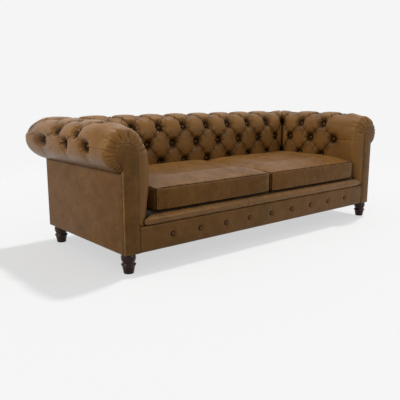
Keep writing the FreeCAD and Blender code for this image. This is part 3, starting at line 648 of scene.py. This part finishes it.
def tuftedArm():
    us, ys, turn = armStations()
    u, v = np.meshgrid(us, rowPlaces, indexing="ij")
    height, spot = armHeight(u, v, ys)
    sz = sectionPlace(v, height)
    tilt = lean(u)
    s = drawnIn(sz[..., 0], v, tilt)
    y = ys[:, None] + tilt * (s - shoulderS)
    drop = armEnd["bandDrop"] * smoothStep(*armEnd["bandDropY"], ys)[:, None]
    z = sz[..., 1] - drop * np.clip(-v, 0, 1)
    tucked = np.arange(len(ys))[:, None] >= len(ys) - len(armEnd["tucks"])
    ringS, ringZ, degrees, low = headTarget(s, z, np.where(tucked, armEnd["tuckedHead"], armEnd["overHead"]))
    puff, longOnes = gathers(degrees, low)
    amount = armEnd["pleatDepth"] * smoothStep(0.0, 0.8, turn / (math.pi / 2)) \
        * np.sqrt(np.clip(np.cos(turn) * 1.6 + 0.25, 0, 1)) * puff
    longDepth = armEnd["longPleatDepth"] * longOnes * smoothStep(*armEnd["longPleatY"], y)
    amount = amount - longDepth * np.cos(turn) ** 0.5
    amount = np.where(tucked, 0, amount)
    # the roll starts to come down to its facing well before the end
    over = smoothStep(*armEnd["settleFrom"], degrees) * (1 - smoothStep(*armEnd["settleTo"], degrees)) * ~low
    down = armEnd["settle"] * smoothStep(*armEnd["settleY"], ys)[:, None] ** armEnd["settlePower"]
    close = np.cos(turn) * (1 - down * over)
    s = ringS + (s - ringS) * close
    z = ringZ + (z - ringZ) * close
    outS, outZ = s - armEnd["headS"], z - armEnd["headZ"]
    length = np.maximum(np.hypot(outS, outZ), 1e-6)
    s = s + amount * outS / length * np.cos(turn * 0.8)
    z = z + amount * outZ / length * np.cos(turn * 0.8)
    y = y - amount * np.sin(turn)
    lineS, lineZ = liningRows(len(ys))
    lineZ[:, -1:] -= drop
    inS, inZ, _, _ = headTarget(lineS, lineZ, armEnd["liningHead"])
    lineS = inS + (lineS - inS) * np.cos(turn)
    lineZ = inZ + (lineZ - inZ) * np.cos(turn)
    lineY = ys[:, None] + tilt[:, :1] * (lineS - shoulderS)
    s, y, z = (np.concatenate(pair, 1) for pair in ((s, lineS), (y, lineY), (z, lineZ)))
    verts = np.stack([sofa["halfWidth"] + s, y, z], -1)
    return wallPiece("right_tufted_arm", us, wall["armColumns"], verts, height, spot)


tuftedBackPiece = tuftedBack()
rightArm = tuftedArm()
leftArm = mirroredCopy(rightArm, "left_tufted_arm")
print("buttoned back and arms drawn")

# covered buttons
buttonForm = {"radius": 0.0112, "height": 0.0078, "segments": 14, "lift": 0.0035, "wobble": 0.025,
              "profile": [(0.0, 1.0), (0.35, 0.95), (0.66, 0.74), (0.88, 0.42), (1.0, 0.10),
                          (0.95, -0.22), (0.0, -0.30)]}


def buttonMesh(centre, out, scale=1.0):
    across = Vector(out).to_track_quat("Z", "Y")
    n, profile = buttonForm["segments"], buttonForm["profile"]
    verts = []
    for r, h in profile:
        for i in range(n if r else 1):
            a = math.tau * i / n
            wobble = 1 + buttonForm["wobble"] * math.sin(3 * a + 40 * centre[0])
            reach = r * wobble * buttonForm["radius"] * scale
            local = Vector((reach * math.cos(a), reach * math.sin(a), h * buttonForm["height"] * scale))
            verts.append(Vector(centre) + across @ local)
    faces = [(0, 1 + i, 1 + (i + 1) % n) for i in range(n)]
    rings = len(profile) - 2
    for k in range(rings - 1):
        a, b = 1 + k * n, 1 + (k + 1) * n
        faces += [(a + i, b + i, b + (i + 1) % n, a + (i + 1) % n) for i in range(n)]
    a, tip = 1 + (rings - 1) * n, 1 + rings * n
    faces += [(a + (i + 1) % n, a + i, tip) for i in range(n)]
    return verts, faces


def buttonPiece(name, places, scale=1.0):
    verts, faces = inOneMesh(buttonMesh(centre, out, scale) for centre, out in places)
    return newPiece(name, verts, faces, buttonHide)


def seatOfButton(u, row):
    v = np.array([float(row)])
    low, high = sectionPlace(v, np.array([0.0]))[0], sectionPlace(v, np.array([1.0]))[0]
    out = (high - low) / np.linalg.norm(high - low)
    tilt = float(lean(np.array(float(u))))
    place = low + out * buttonForm["lift"]
    return float(drawnIn(place[0], v[0], tilt)), place[1], out, tilt


def heldSpots(columns):  # a button sits where column and row are both odd or both even
    return [(column, row) for column in range(1, columns) for row in range(wall["rows"])
            if (column + row) % 2 == 0]


backButtons, armButtons = [], []
for column, row in heldSpots(2 * wall["backGaps"]):
    mate = min(column, 2 * wall["backGaps"] - column)
    side = (column < wall["backGaps"]) - (column > wall["backGaps"])
    s, z, out, tilt = seatOfButton(mate, row)
    x = (sofa["halfWidth"] + shoulderS - mate * backPitch + tilt * (s - shoulderS)) * side
    backButtons.append(((x, sofa["backY"] + s, z), (0, out[0], out[1])))
for column, row in heldSpots(wall["armColumns"] + 1):
    s, z, out, tilt = seatOfButton(column, row)
    y = sofa["backY"] + shoulderS - column * wall["armPitch"] + tilt * (s - shoulderS)
    armButtons.append(((sofa["halfWidth"] + s, y, z), (out[0], 0, out[1])))
backButtonPiece = buttonPiece("back_button_set", backButtons)
rightButtonPiece = buttonPiece("right_arm_button_set", armButtons)
leftButtonPiece = mirroredCopy(rightButtonPiece, "left_arm_button_set")
print("buttons covered:", len(backButtons) + 2 * len(armButtons))

# front border with its shallow buttons
borderLow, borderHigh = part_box("front_border")
border = {
    "y": borderLow.y, "halfLength": borderHigh.x, "low": borderLow.z, "high": borderHigh.z,
    "columns": 386, "rows": 25, "plainCrown": 0.86, "starAt": 0.018, "starWidth": 0.008,
    "foldWidth": 0.006, "foldStarts": (0.006, 0.03), "foldEnds": (0.03, 0.06),
    "thickness": 0.016, "backInset": 0.001, "edge": 0.006, "edgeDepth": 0.005, "endDepth": 0.004,
    "swell": 0.0022, "unevenness": 0.0007, "buttons": 9, "pitch": 0.1895, "buttonZ": 0.168, "buttonScale": 0.90,
    "buttonOut": 0.0062, "dimple": 0.0075, "dimpleWidth": 0.015, "paintedRingShade": 0.75, "ringAt": 0.0115,
    "ringWidth": 0.0045, "nearButton": 0.06, "pinch": 2.2, "star": 0.0006, "fold": 0.0012,
}
border["buttonX"] = [(i - (border["buttons"] - 1) / 2) * border["pitch"] for i in range(border["buttons"])]


def frontBorder():
    xs = np.linspace(-border["halfLength"], border["halfLength"], border["columns"])
    x, t = np.meshgrid(xs, np.linspace(0, 1, border["rows"]), indexing="ij")
    tall = border["high"] - border["low"]
    z = border["low"] + tall * t
    edge, end = np.minimum(t, 1 - t) * tall, border["halfLength"] - np.abs(x)
    y = border["y"] + border["edgeDepth"] * rounding(edge, border["edge"]) \
        + border["endDepth"] * rounding(end, border["edge"]) \
        - border["swell"] * np.sin(math.pi * t) + border["unevenness"] * ripple(x, z, 0.14, 1.0)
    # the plain crown value gives the border a faint painted highlight through the tufted material
    crown, spot = np.full_like(x, border["plainCrown"]), np.ones(x.shape + (3,))
    for i, middle in enumerate(border["buttonX"]):
        dx, dz = x - middle, z - border["buttonZ"]
        reach = np.hypot(dx, dz)
        # a painted shade ring round each button's dimple
        crown = crown - border["paintedRingShade"] * hump(reach, border["ringAt"], border["ringWidth"])
        # near a button the spot places the painted pit shade and the puckers, drawn in closer by the pinch
        near = reach < border["nearButton"]
        spot[near] = np.stack([dx * border["pinch"], dz * border["pinch"], np.full_like(x, 0.13 * i)], -1)[near]
        star = np.sin(np.arctan2(dz, dx) * 6 + 5 * i) * hump(reach, border["starAt"], border["starWidth"])
        upright = smoothStep(*border["foldStarts"], np.abs(dz)) * (1 - smoothStep(*border["foldEnds"], np.abs(dz)))
        y = y + border["dimple"] * hump(reach, 0, border["dimpleWidth"]) + border["star"] * star \
            + border["fold"] * hump(dx, 0, border["foldWidth"]) * upright
    backZ = np.tile([border["high"] - border["backInset"], border["low"] + border["backInset"]], (len(xs), 1))
    back = np.stack([x[:, :2], np.full((len(xs), 2), border["y"] + border["thickness"]), backZ], -1)
    crown = np.concatenate([crown, crown[:, :2]], 1).ravel()
    spot = np.concatenate([spot, np.ones(back.shape)], 1).reshape(-1, 3)
    return ringPiece("buttoned_border", np.concatenate([np.stack([x, y, z], -1), back], 1), tuftedHide,
                     {"crown": crown, "pucker": spot})


borderPiece = frontBorder()
buttonY = border["y"] + border["dimple"] - border["buttonOut"]
borderButtons = [((x, buttonY, border["buttonZ"]), (0, -1, 0)) for x in border["buttonX"]]
borderButtonPiece = buttonPiece("border_button_set", borderButtons, border["buttonScale"])

# rolled lip over the border
lipLow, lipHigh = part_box("front_lip_cover")
lip = {
    "y": lipLow.y, "low": lipLow.z, "radius": (lipHigh.z - lipLow.z) / 2,
    "columns": 330, "around": 44, "smallest": 0.02, "backSquash": 0.9,
    "plainTo": 0.84, "taper": 0.080, "taperBy": 0.93, "taperBack": 0.020, "unevenness": 0.0009,
    "seamX": -0.215, "seamDepth": 0.0034, "seamWidth": 0.0026, "seamReach": 0.007,
    "pressed": 0.0010, "pressedAt": 0.72, "pressedWidth": 0.12,
    "gap": 0.003, "bandReach": 0.061,
}


def frontLip():
    xs = np.unique(np.concatenate([np.linspace(-border["halfLength"], border["halfLength"], lip["columns"]),
                                   lip["seamX"] + np.linspace(-lip["seamReach"], lip["seamReach"], 9)]))
    angles = np.linspace(0, 2 * math.pi, lip["around"], endpoint=False)
    x, a = np.meshgrid(xs, angles, indexing="ij")
    past = np.clip((np.abs(x) - border["halfLength"] + lip["taper"]) / lip["taper"], 0, 1)
    size = np.sqrt(np.clip(1 - lip["taperBy"] * past ** 2.0, lip["smallest"], 1))
    isFront = np.cos(a) > 0
    radius = lip["radius"] * size + lip["unevenness"] * ripple(x, a * 0.03, 0.11, 4.0) * size
    radius = radius - lip["seamDepth"] * hump(x, lip["seamX"], lip["seamWidth"])
    radius = radius - lip["pressed"] * hump(np.sin(a), lip["pressedAt"], lip["pressedWidth"]) * isFront
    squash = np.where(isFront, 1, lip["backSquash"])
    y = lip["y"] + lip["radius"] + (1 - size) * lip["taperBack"] - radius * np.cos(a) * squash
    z = lip["low"] + lip["radius"] * size + radius * np.sin(a)
    # each end is cut to the rounded band of the arm beside it
    turned = np.clip((armEnd["startY"] - y) / (armEnd["startY"] - armEnd["endY"]), 0, 1)
    limit = sofa["halfWidth"] - armEnd["width"] - lip["gap"] - lip["bandReach"] * np.sqrt(1 - turned ** 2)
    reach = np.maximum(np.abs(x) - lip["plainTo"], 0) / (border["halfLength"] - lip["plainTo"])
    x = np.sign(x) * (np.minimum(np.abs(x), lip["plainTo"]) + reach * (limit - lip["plainTo"]))
    return ringPiece("rolled_lip", np.stack([x, y, z], -1), lipHide)


lipPiece = frontLip()
print("front border and lip drawn")

# scroll facings: the front is stepped in by these insets, past its sewn line to the padding
facingForm = {"edge": 0.0050, "edgeDegrees": (30, 60, 90), "puff": 0.0024, "seam": 0.0018,
              "flat": 0.0001, "firstPuff": 0.0008, "innerPuff": 1.1,
              "insets": (0.0060, 0.0072, 0.0084, 0.014, 0.026, 0.036)}


def facingLoop(inset, y):
    headS, headZ = armEnd["headS"], armEnd["headZ"]
    r = armEnd["headRadius"] - inset
    left, outer, low = headS - r, -inset, sofa["bodyBottom"] + inset
    jointZ = headZ - math.sqrt(max(r * r - (outer - headS) ** 2, 1e-9))
    jointAngle = math.degrees(math.atan2(jointZ - headZ, outer - headS))
    points = [(outer + (left - outer) * t, low) for t in np.linspace(0, 1, 10, endpoint=False)]
    points += [(left, low + (headZ - low) * t) for t in np.linspace(0, 1, 50, endpoint=False)]
    points += [(headS + r * math.cos(a), headZ + r * math.sin(a))
               for a in np.radians(np.linspace(180, jointAngle, 60, endpoint=False))]
    points += [(outer, jointZ + (low - jointZ) * t) for t in np.linspace(0, 1, 40, endpoint=False)]
    return [(sofa["halfWidth"] + s, y, z) for s, z in points]


def facingPiece():
    y, e = sofa["facingY"], facingForm["edge"]
    steps = [(0.0, sofa["facingBackY"]), (0.0, y + e)]
    steps += [(e * (1 - math.cos(a)), y + e * (1 - math.sin(a))) for a in np.radians(facingForm["edgeDegrees"])]
    puff, flat = facingForm["puff"], facingForm["flat"]
    behind = (flat, facingForm["seam"], flat, -facingForm["firstPuff"], -puff, -puff * facingForm["innerPuff"])
    steps += [(inset, y + step) for inset, step in zip(facingForm["insets"], behind)]
    return ringPiece("right_scroll_facing", [facingLoop(*step) for step in steps], plainHide)


rightFacing = facingPiece()
leftFacing = mirroredCopy(rightFacing, "left_scroll_facing")

# outside panels, drawn over their boards
panel = {"edge": 0.004, "edgeDepth": 0.0030, "bow": 0.0022, "wave": 0.0008, "back": -0.0045,
         "columns": 110, "rows": 54, "bowFrom": 0.05, "waveFrom": 0.04, "waveSize": 0.30,
         "above": 0.004, "cornerGap": 0.001, "cornerLap": 0.0015}


def outsidePanel(name, start, stop, low, high, place, seed):
    ls = np.linspace(start, stop, panel["columns"])
    along, t = np.meshgrid(ls, np.linspace(0, 1, panel["rows"]), indexing="ij")
    z = low + (high - low) * t
    edge = np.minimum(np.minimum(along - start, stop - along), (high - low) * np.minimum(t, 1 - t))
    bow = np.sin(math.pi * t) * np.sin(math.pi * (along - start) / (stop - start))
    out = panel["bow"] * bow * smoothStep(0, panel["bowFrom"], edge) \
        - panel["edgeDepth"] * rounding(edge, panel["edge"]) \
        + panel["wave"] * ripple(along, z, panel["waveSize"], seed) * smoothStep(0, panel["waveFrom"], edge)
    front = place(along, out, z)
    back = place(np.stack([ls, ls], 1), np.full((len(ls), 2), panel["back"]),
                 np.tile([high, low], (len(ls), 1)))
    return ringPiece(name, np.concatenate([front, back], 1), panelHide)


def onArmSide(along, out, z):
    return np.stack([sofa["halfWidth"] + out, along, z], -1)


def onBackSide(along, out, z):
    return np.stack([along, sofa["backY"] + out, z], -1)


rightPanel = outsidePanel("right_outside_panel", sideLow.y, sofa["backY"] - panel["cornerGap"],
                          sideLow.z, sideHigh.z + panel["above"], onArmSide, 0.5)
leftPanel = mirroredCopy(rightPanel, "left_outside_panel")
backPanel = outsidePanel("back_outside_panel", backLow.x - panel["cornerLap"], backHigh.x + panel["cornerLap"],
                         backLow.z, backHigh.z + panel["above"], onBackSide, 2.5)
print("facings and outside panels drawn")

# turned feet: the profile is height and radius, in millimetres
footForm = {
    "profile": [(0, 24.5), (0.8, 26.0), (2, 26.5), (12, 28.0), (24, 30.2), (34, 32.6), (40, 34.4),
                (43, 36.6), (45, 37.8), (47, 38.2), (49, 37.6), (50.5, 35.0), (52, 32.6), (55, 31.2),
                (58, 31.3), (61, 32.6), (66, 35.0), (73, 37.2), (80, 38.2), (87, 38.0), (93, 36.8),
                (98, 34.8), (99.8, 33.6)],
    "segments": 56, "halfWidth": 0.038,
}


def footMesh(x, y):
    n, profile = footForm["segments"], footForm["profile"]
    verts = [(x + r * 0.001 * math.cos(math.tau * i / n), y + r * 0.001 * math.sin(math.tau * i / n), z * 0.001)
             for z, r in profile for i in range(n)]
    return verts, ringFaces(len(profile), n)


def footPair(name, node):
    low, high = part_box(node)
    y, reach = (low.y + high.y) / 2, high.x - footForm["halfWidth"]
    verts, faces = inOneMesh(footMesh(x, y) for x in (reach, -reach))
    return newPiece(name, verts, faces, polishedFoot)


frontFeet = footPair("front_turned_feet", "front_feet")
backFeet = footPair("back_turned_feet", "back_feet")

# seat deck under the cushions
deck = {"low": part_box("deck_foam")[0], "high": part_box("deck_cover")[1], "edge": 0.012,
        "edgeDepth": 0.004, "unevenness": 0.0008, "columns": 120, "rows": 44, "waveSize": 0.2}


def seatDeck():
    low, high = deck["low"], deck["high"]
    xs = np.linspace(low.x, high.x, deck["columns"])
    x, t = np.meshgrid(xs, np.linspace(0, 1, deck["rows"]), indexing="ij")
    y = low.y + (high.y - low.y) * t
    edge = np.minimum(np.minimum(x - low.x, high.x - x), np.minimum(y - low.y, high.y - y))
    z = high.z - deck["edgeDepth"] * rounding(edge, deck["edge"]) \
        - deck["unevenness"] * (1 + ripple(x, y, deck["waveSize"], 3.0))
    under = np.stack([x[:, :2], np.tile([high.y, low.y], (len(xs), 1)), np.full((len(xs), 2), low.z)], -1)
    return ringPiece("seat_deck", np.concatenate([np.stack([x, y, z], -1), under], 1), deckCloth)


deckPiece = seatDeck()
print("feet and deck drawn")

# loose seat cushions: sewn box cushions, filled by a cloth run with their seams held
cushion = {
    "low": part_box("right_cushion_cover")[0], "high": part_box("right_cushion_cover")[1],
    "seamZ": 0.4170, "cell": 0.011, "inset": 0.004, "outerGap": 0.008, "deckGap": 0.0006,
    "crown": 0.034, "quickCrown": 0.008, "drawIn": 0.009, "largestMove": 0.026, "frames": 20,
    "seamHold": 0.97, "drawInPowers": (4, 6), "crownPowers": (7, 5),
    "roomBelow": (0.0, 0.001, -0.0003), "roomAbove": (0.004, 0.0, 0.007),
    "cloth": {"use_pressure": True, "uniform_pressure_force": 4.0, "shrink_min": -0.006, "mass": 0.25,
              "tension_stiffness": 22, "compression_stiffness": 12, "bending_stiffness": 0.35,
              "quality": 6},
}


def boxGrid(low, high, cell):
    # a box of even cells, as verts and quads, with the points of its twelve edges
    counts = [max(4, round((high[k] - low[k]) / cell)) for k in range(3)]
    ids, verts, faces = {}, [], []

    def vert(key):
        if key not in ids:
            ids[key] = len(verts)
            verts.append([low[d] + (high[d] - low[d]) * key[d] / counts[d] for d in range(3)])
        return ids[key]
    for d in range(3):
        e, f = (d + 1) % 3, (d + 2) % 3
        for end in (0, counts[d]):
            for i in range(counts[e]):
                for j in range(counts[f]):
                    corner = []
                    for di, dj in ((0, 0), (1, 0), (1, 1), (0, 1)):
                        key = [0, 0, 0]
                        key[d], key[e], key[f] = end, i + di, j + dj
                        corner.append(vert(tuple(key)))
                    faces.append(tuple(corner))
    seams = [index for key, index in ids.items() if sum(key[d] in (0, counts[d]) for d in range(3)) >= 2]
    return np.array(verts), faces, seams


def blownUp(piece, seams, start):
    # the cloth run, with its seams held and no point let further than the largest move
    piece.vertex_groups.new(name="seams").add(seams, cushion["seamHold"], "REPLACE")
    cloth = piece.modifiers.new("fill", "CLOTH")
    for key, value in cushion["cloth"].items():
        setattr(cloth.settings, key, value)
    cloth.settings.vertex_group_mass = "seams"
    cloth.settings.effector_weights.gravity = 0
    cloth.collision_settings.use_self_collision = False
    scene = bpy.context.scene
    scene.frame_start, scene.frame_end = 1, cushion["frames"]
    cloth.point_cache.frame_end = cushion["frames"]
    for step in range(1, cushion["frames"] + 1):
        scene.frame_set(step)
    moved = pointsOf(evaluated(piece).data) - start
    piece.modifiers.clear()
    piece.vertex_groups.clear()
    scene.frame_set(1)
    far = np.linalg.norm(moved, axis=1, keepdims=True)
    print("  filled", piece.name, "largest move", round(float(far.max()) * 1000, 1), "mm")
    return start + moved * np.minimum(1, cushion["largestMove"] / np.maximum(far, 1e-9))


def fillCushion(name):
    boxLow, boxHigh = cushion["low"], cushion["high"]
    inset = Vector((cushion["inset"],) * 3)
    low, high = boxLow + inset, boxHigh - inset
    high.x -= cushion["outerGap"]
    low.z, high.z = boxLow.z + cushion["deckGap"], cushion["seamZ"]
    verts, faces, seams = boxGrid(low, high, cushion["cell"])
    middle, half = (np.array(low) + np.array(high)) / 2, (np.array(high) - np.array(low)) / 2
    place = (verts - middle) / half
    # sides draw in between the corners, and the top starts out with a little crown
    across, along = np.abs(place[:, 0]), np.abs(place[:, 1])
    sidePower, frontPower = cushion["drawInPowers"]
    verts[:, 0] -= place[:, 0] * cushion["drawIn"] * 0.5 * along ** sidePower
    verts[:, 1] -= place[:, 1] * cushion["drawIn"] * across ** frontPower
    acrossPower, alongPower = cushion["crownPowers"]
    crown = np.clip(1 - across ** acrossPower, 0, 1) * np.clip(1 - along ** alongPower, 0, 1)
    crown = np.where(place[:, 2] > 0.99, crown, 0)
    verts[:, 2] += cushion["crown"] * crown
    piece = newPiece(name, verts, faces, cushionHide)
    verts = blownUp(piece, seams, verts)
    verts = np.clip(verts, np.array(boxLow) - cushion["roomBelow"], np.array(boxHigh) + cushion["roomAbove"])
    piece.data.vertices.foreach_set("co", verts.ravel())
    fromEdges = np.sort(half * (1 - np.abs(place)), axis=1)[:, 1]
    piece.data.attributes.new("seam", "FLOAT", "POINT").data.foreach_set("value", fromEdges)
    piece.data.update()
    smooth = piece.modifiers.new("smooth", "SUBSURF")
    smooth.levels = smooth.render_levels = 1
    bakeModifiers(piece)
    piece.data.name = name
    return piece


rightCushion = fillCushion("right_cushion")
leftCushion = mirroredCopy(rightCushion, "left_cushion")
print("cushions filled")

# stitches beside the top seam of each cushion
stitch = {"gap": 0.0065, "length": 0.0042, "radius": 0.00045, "inFromSeam": 0.0060, "seed": 7,
          "shortest": 0.88, "longest": 1.06, "pathStep": 0.006, "lift": 0.6}


def stitchTree():
    tree = bpy.data.node_groups.new("stitches", "GeometryNodeTree")
    _, gap, seed, _ = (tree.interface.new_socket(name, in_out=way, socket_type="NodeSocket" + kind)
                       for name, way, kind in (("Path", "INPUT", "Geometry"), ("Stitch gap", "INPUT", "Float"),
                                               ("Seed", "INPUT", "Int"), ("Stitches", "OUTPUT", "Geometry")))
    given = tree.nodes.new("NodeGroupInput").outputs
    path = add(tree, "GeometryNodeMeshToCurve", Mesh=given["Path"])
    spots = add(tree, "GeometryNodeCurveToPoints", {"mode": "LENGTH"}, Curve=path.outputs["Curve"],
                Length=given["Stitch gap"])
    thread = add(tree, "GeometryNodeMeshCylinder", Vertices=6, Radius=stitch["radius"], Depth=stitch["length"])
    aligned = add(tree, "FunctionNodeAlignRotationToVector", {"axis": "Z"}, Vector=spots.outputs["Tangent"])
    size = add(tree, "FunctionNodeRandomValue", {"data_type": "FLOAT"}, Seed=given["Seed"])
    setInputs(size, {2: stitch["shortest"], 3: stitch["longest"]})
    placed = add(tree, "GeometryNodeInstanceOnPoints", Points=spots.outputs["Points"],
                 Instance=thread.outputs["Mesh"], Rotation=aligned.outputs["Rotation"], Scale=size.outputs[1])
    real = add(tree, "GeometryNodeRealizeInstances", Geometry=placed.outputs["Instances"])
    dressed = add(tree, "GeometryNodeSetMaterial", Geometry=real.outputs["Geometry"], Material=threadMat)
    out = tree.nodes.new("NodeGroupOutput")
    tree.links.new(dressed.outputs["Geometry"], out.inputs[0])
    return tree, gap.identifier, seed.identifier


def stitchPiece(name, piece):
    # a line round the front and both sides, laid on the top of the cushion
    mesh = piece.data
    surface = BVHTree.FromPolygons([v.co for v in mesh.vertices], [p.vertices for p in mesh.polygons])
    xs, ys = [v.co.x for v in mesh.vertices], [v.co.y for v in mesh.vertices]
    inward = stitch["inFromSeam"] + cushion["drawIn"]
    x0, x1, y0, y1 = min(xs) + inward, max(xs) - inward, min(ys) + inward, max(ys) - inward
    corners = [(x0, y1), (x0, y0), (x1, y0), (x1, y1)]
    points = []
    for (ax, ay), (bx, by) in zip(corners, corners[1:]):
        count = round(math.dist((ax, ay), (bx, by)) / stitch["pathStep"])
        for i in range(count):
            x, y = ax + (bx - ax) * i / count, ay + (by - ay) * i / count
            hit = surface.ray_cast(Vector((x, y, 1.0)), Vector((0, 0, -1)))[0]
            points.append((x, y, hit.z + stitch["radius"] * stitch["lift"]))
    mesh = bpy.data.meshes.new(name)
    mesh.from_pydata(points, [(i, i + 1) for i in range(len(points) - 1)], [])
    line = newObject(name, mesh)
    tree, gap, seed = stitchTree()
    sewn = line.modifiers.new("stitches", "NODES")
    sewn.node_group = tree
    sewn[gap], sewn[seed] = stitch["gap"], stitch["seed"]
    bakeModifiers(line)
    return line


rightStitches = stitchPiece("right_cushion_stitches", rightCushion)
leftStitches = stitchPiece("left_cushion_stitches", leftCushion)
print("stitches sewn:", len(rightStitches.data.polygons), "faces a cushion")

# for each body and slot: the pieces, how full each is where it is padded, and what it stands for
rides = {
    ("sofa", "leather"): [
        (tuftedBackPiece, 0.8, "tufted_back_cover", "back_foam"),
        (rightArm, 0.8, "right_tufted_arm_cover", "right_arm_foam"),
        (leftArm, 0.8, "left_tufted_arm_cover", "left_arm_foam"),
        (borderPiece, 0.3, "front_border"),
        (lipPiece, 0.8, "front_lip_cover", "front_lip_foam"),
        (rightFacing, None, "right_facing"), (leftFacing, None, "left_facing"),
        (rightPanel, None, "right_outside_arm_panel"), (leftPanel, None, "left_outside_arm_panel"),
        (backPanel, None, "outside_back_panel")],
    ("sofa", "buttons"): [
        (backButtonPiece, None, "back_buttons"), (borderButtonPiece, None, "border_buttons"),
        (rightButtonPiece, None, "right_arm_buttons"), (leftButtonPiece, None, "left_arm_buttons")],
    ("sofa", "feet"): [(frontFeet, None, "front_feet"), (backFeet, None, "back_feet")],
    ("sofa", "cloth"): [(deckPiece, 0.7, "deck_cover", "deck_foam")],
    ("right_seat_cushion", "leather"): [
        (rightCushion, 0.7, "right_cushion_cover", "right_cushion_foam"), (rightStitches, None)],
    ("left_seat_cushion", "leather"): [
        (leftCushion, 0.7, "left_cushion_cover", "left_cushion_foam"), (leftStitches, None)],
}
for (body, slot), rows in rides.items():
    for piece, fill, *nodes in rows:
        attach(piece, body)
        if nodes:
            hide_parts(*nodes)

# floor, light and camera
studio = {
    "floorSize": 30.0, "floor": 0.46, "floorRough": 0.9, "floorGloss": 0.1,
    "backdrop": 0.913, "cameraGlow": 0.58, "fadeFrom": 2.6, "fadeTo": 4.6, "skyLight": 0.30,
    "softboxes": {  # place, aim, size, power and colour
        "left_window": ((-4.0, -0.2, 2.3), (-0.9, 0.0, 0.6), (1.8, 1.2), 98, (1.0, 0.93, 0.83)),
        "front_fill": ((1.6, -4.8, 2.6), (0.0, 0.0, 0.4), (2.6, 1.6), 74, (1.0, 0.95, 0.88)),
        "overhead": ((0.1, 0.75, 3.2), (0.0, 0.0, 0.3), (3.2, 1.1), 33, (1.0, 1.0, 1.0)),
    },
    "keyPower": 1.55, "keyDegrees": 5, "keyDirection": (-0.52, -0.13, -1.0),
    "lens": 47.28, "sensor": 36.0, "cameraPlace": (-2.3652, -2.5999, 0.8804),
    "cameraDegrees": (78.68, 0, -40.13),
}


def raySeesBackdrop(tree):
    rays = add(tree, "ShaderNodeLightPath").outputs
    sharp = sums("MAXIMUM", rays["Is Glossy Ray"], rays["Is Transmission Ray"])
    return sums("MAXIMUM", rays["Is Camera Ray"], sharp)


def studioFloor():
    mat, tree, surface, place = shader("pale_floor")
    setInputs(surface, {"Base Color": (studio["floor"],) * 3 + (1,), "Roughness": studio["floorRough"],
                        "Specular IOR Level": studio["floorGloss"]})
    glow = add(tree, "ShaderNodeEmission", Color=(1, 1, 1, 1),
               Strength=times(raySeesBackdrop(tree), studio["cameraGlow"]))
    both = add(tree, "ShaderNodeAddShader")
    # far from the sofa the floor gives way to the even backdrop
    reach = add(tree, "ShaderNodeVectorMath", {"operation": "LENGTH"}, Vector=place).outputs["Value"]
    away = ranged(reach, studio["fadeFrom"], studio["fadeTo"], smooth=True)
    fade = add(tree, "ShaderNodeMixShader")
    clear = add(tree, "ShaderNodeBsdfTransparent")
    setInputs(both, {0: surface.outputs[0], 1: glow.outputs[0]})
    setInputs(fade, {0: away, 1: both.outputs[0], 2: clear.outputs[0]})
    setInputs(tree.nodes["Material Output"], {"Surface": fade.outputs[0]})
    size = studio["floorSize"]
    return newPiece("studio_floor", [(-size, -size, 0), (size, -size, 0), (size, size, 0), (-size, size, 0)],
                    [(0, 1, 2, 3)], mat)


floor = studioFloor()
# only the key lamp lights the floor, so that its shadow keeps its shape
spared = bpy.data.collections.new("not_lit_by_fills")
spared.objects.link(floor)
spared.collection_objects[0].light_linking.link_state = "EXCLUDE"
world = bpy.data.worlds.new("studio")
bpy.context.scene.world = world
world.use_nodes = True
sky = world.node_tree
strength = ranged(raySeesBackdrop(sky), 0.0, 1.0, studio["skyLight"], studio["backdrop"])
setInputs(sky.nodes["Background"], {"Color": (1, 1, 1, 1), "Strength": strength})


def lookAlong(direction):
    return Vector(direction).to_track_quat("-Z", "Y").to_euler()


for name, (place, aim, size, power, colour) in studio["softboxes"].items():
    lamp = bpy.data.lights.new(name, "AREA")
    lamp.shape = "RECTANGLE"
    lamp.size, lamp.size_y = size
    lamp.energy = power
    lamp.color = colour
    box = newObject(name, lamp)
    box.location = place
    box.rotation_euler = lookAlong(Vector(aim) - Vector(place))
    box.light_linking.receiver_collection = spared
keyLamp = bpy.data.lights.new("key", "SUN")
keyLamp.energy = studio["keyPower"]
keyLamp.angle = math.radians(studio["keyDegrees"])
key = newObject("key", keyLamp)
key.visible_glossy = False
key.rotation_euler = lookAlong(studio["keyDirection"])

camera = bpy.data.cameras.new("camera")
camera.lens = studio["lens"]
camera.sensor_width = studio["sensor"]
cameraObject = newObject("camera", camera)
cameraObject.location = studio["cameraPlace"]
cameraObject.rotation_euler = [math.radians(d) for d in studio["cameraDegrees"]]
bpy.context.scene.camera = cameraObject
bpy.context.scene.view_settings.view_transform = "Standard"

print("floor, light and camera set")
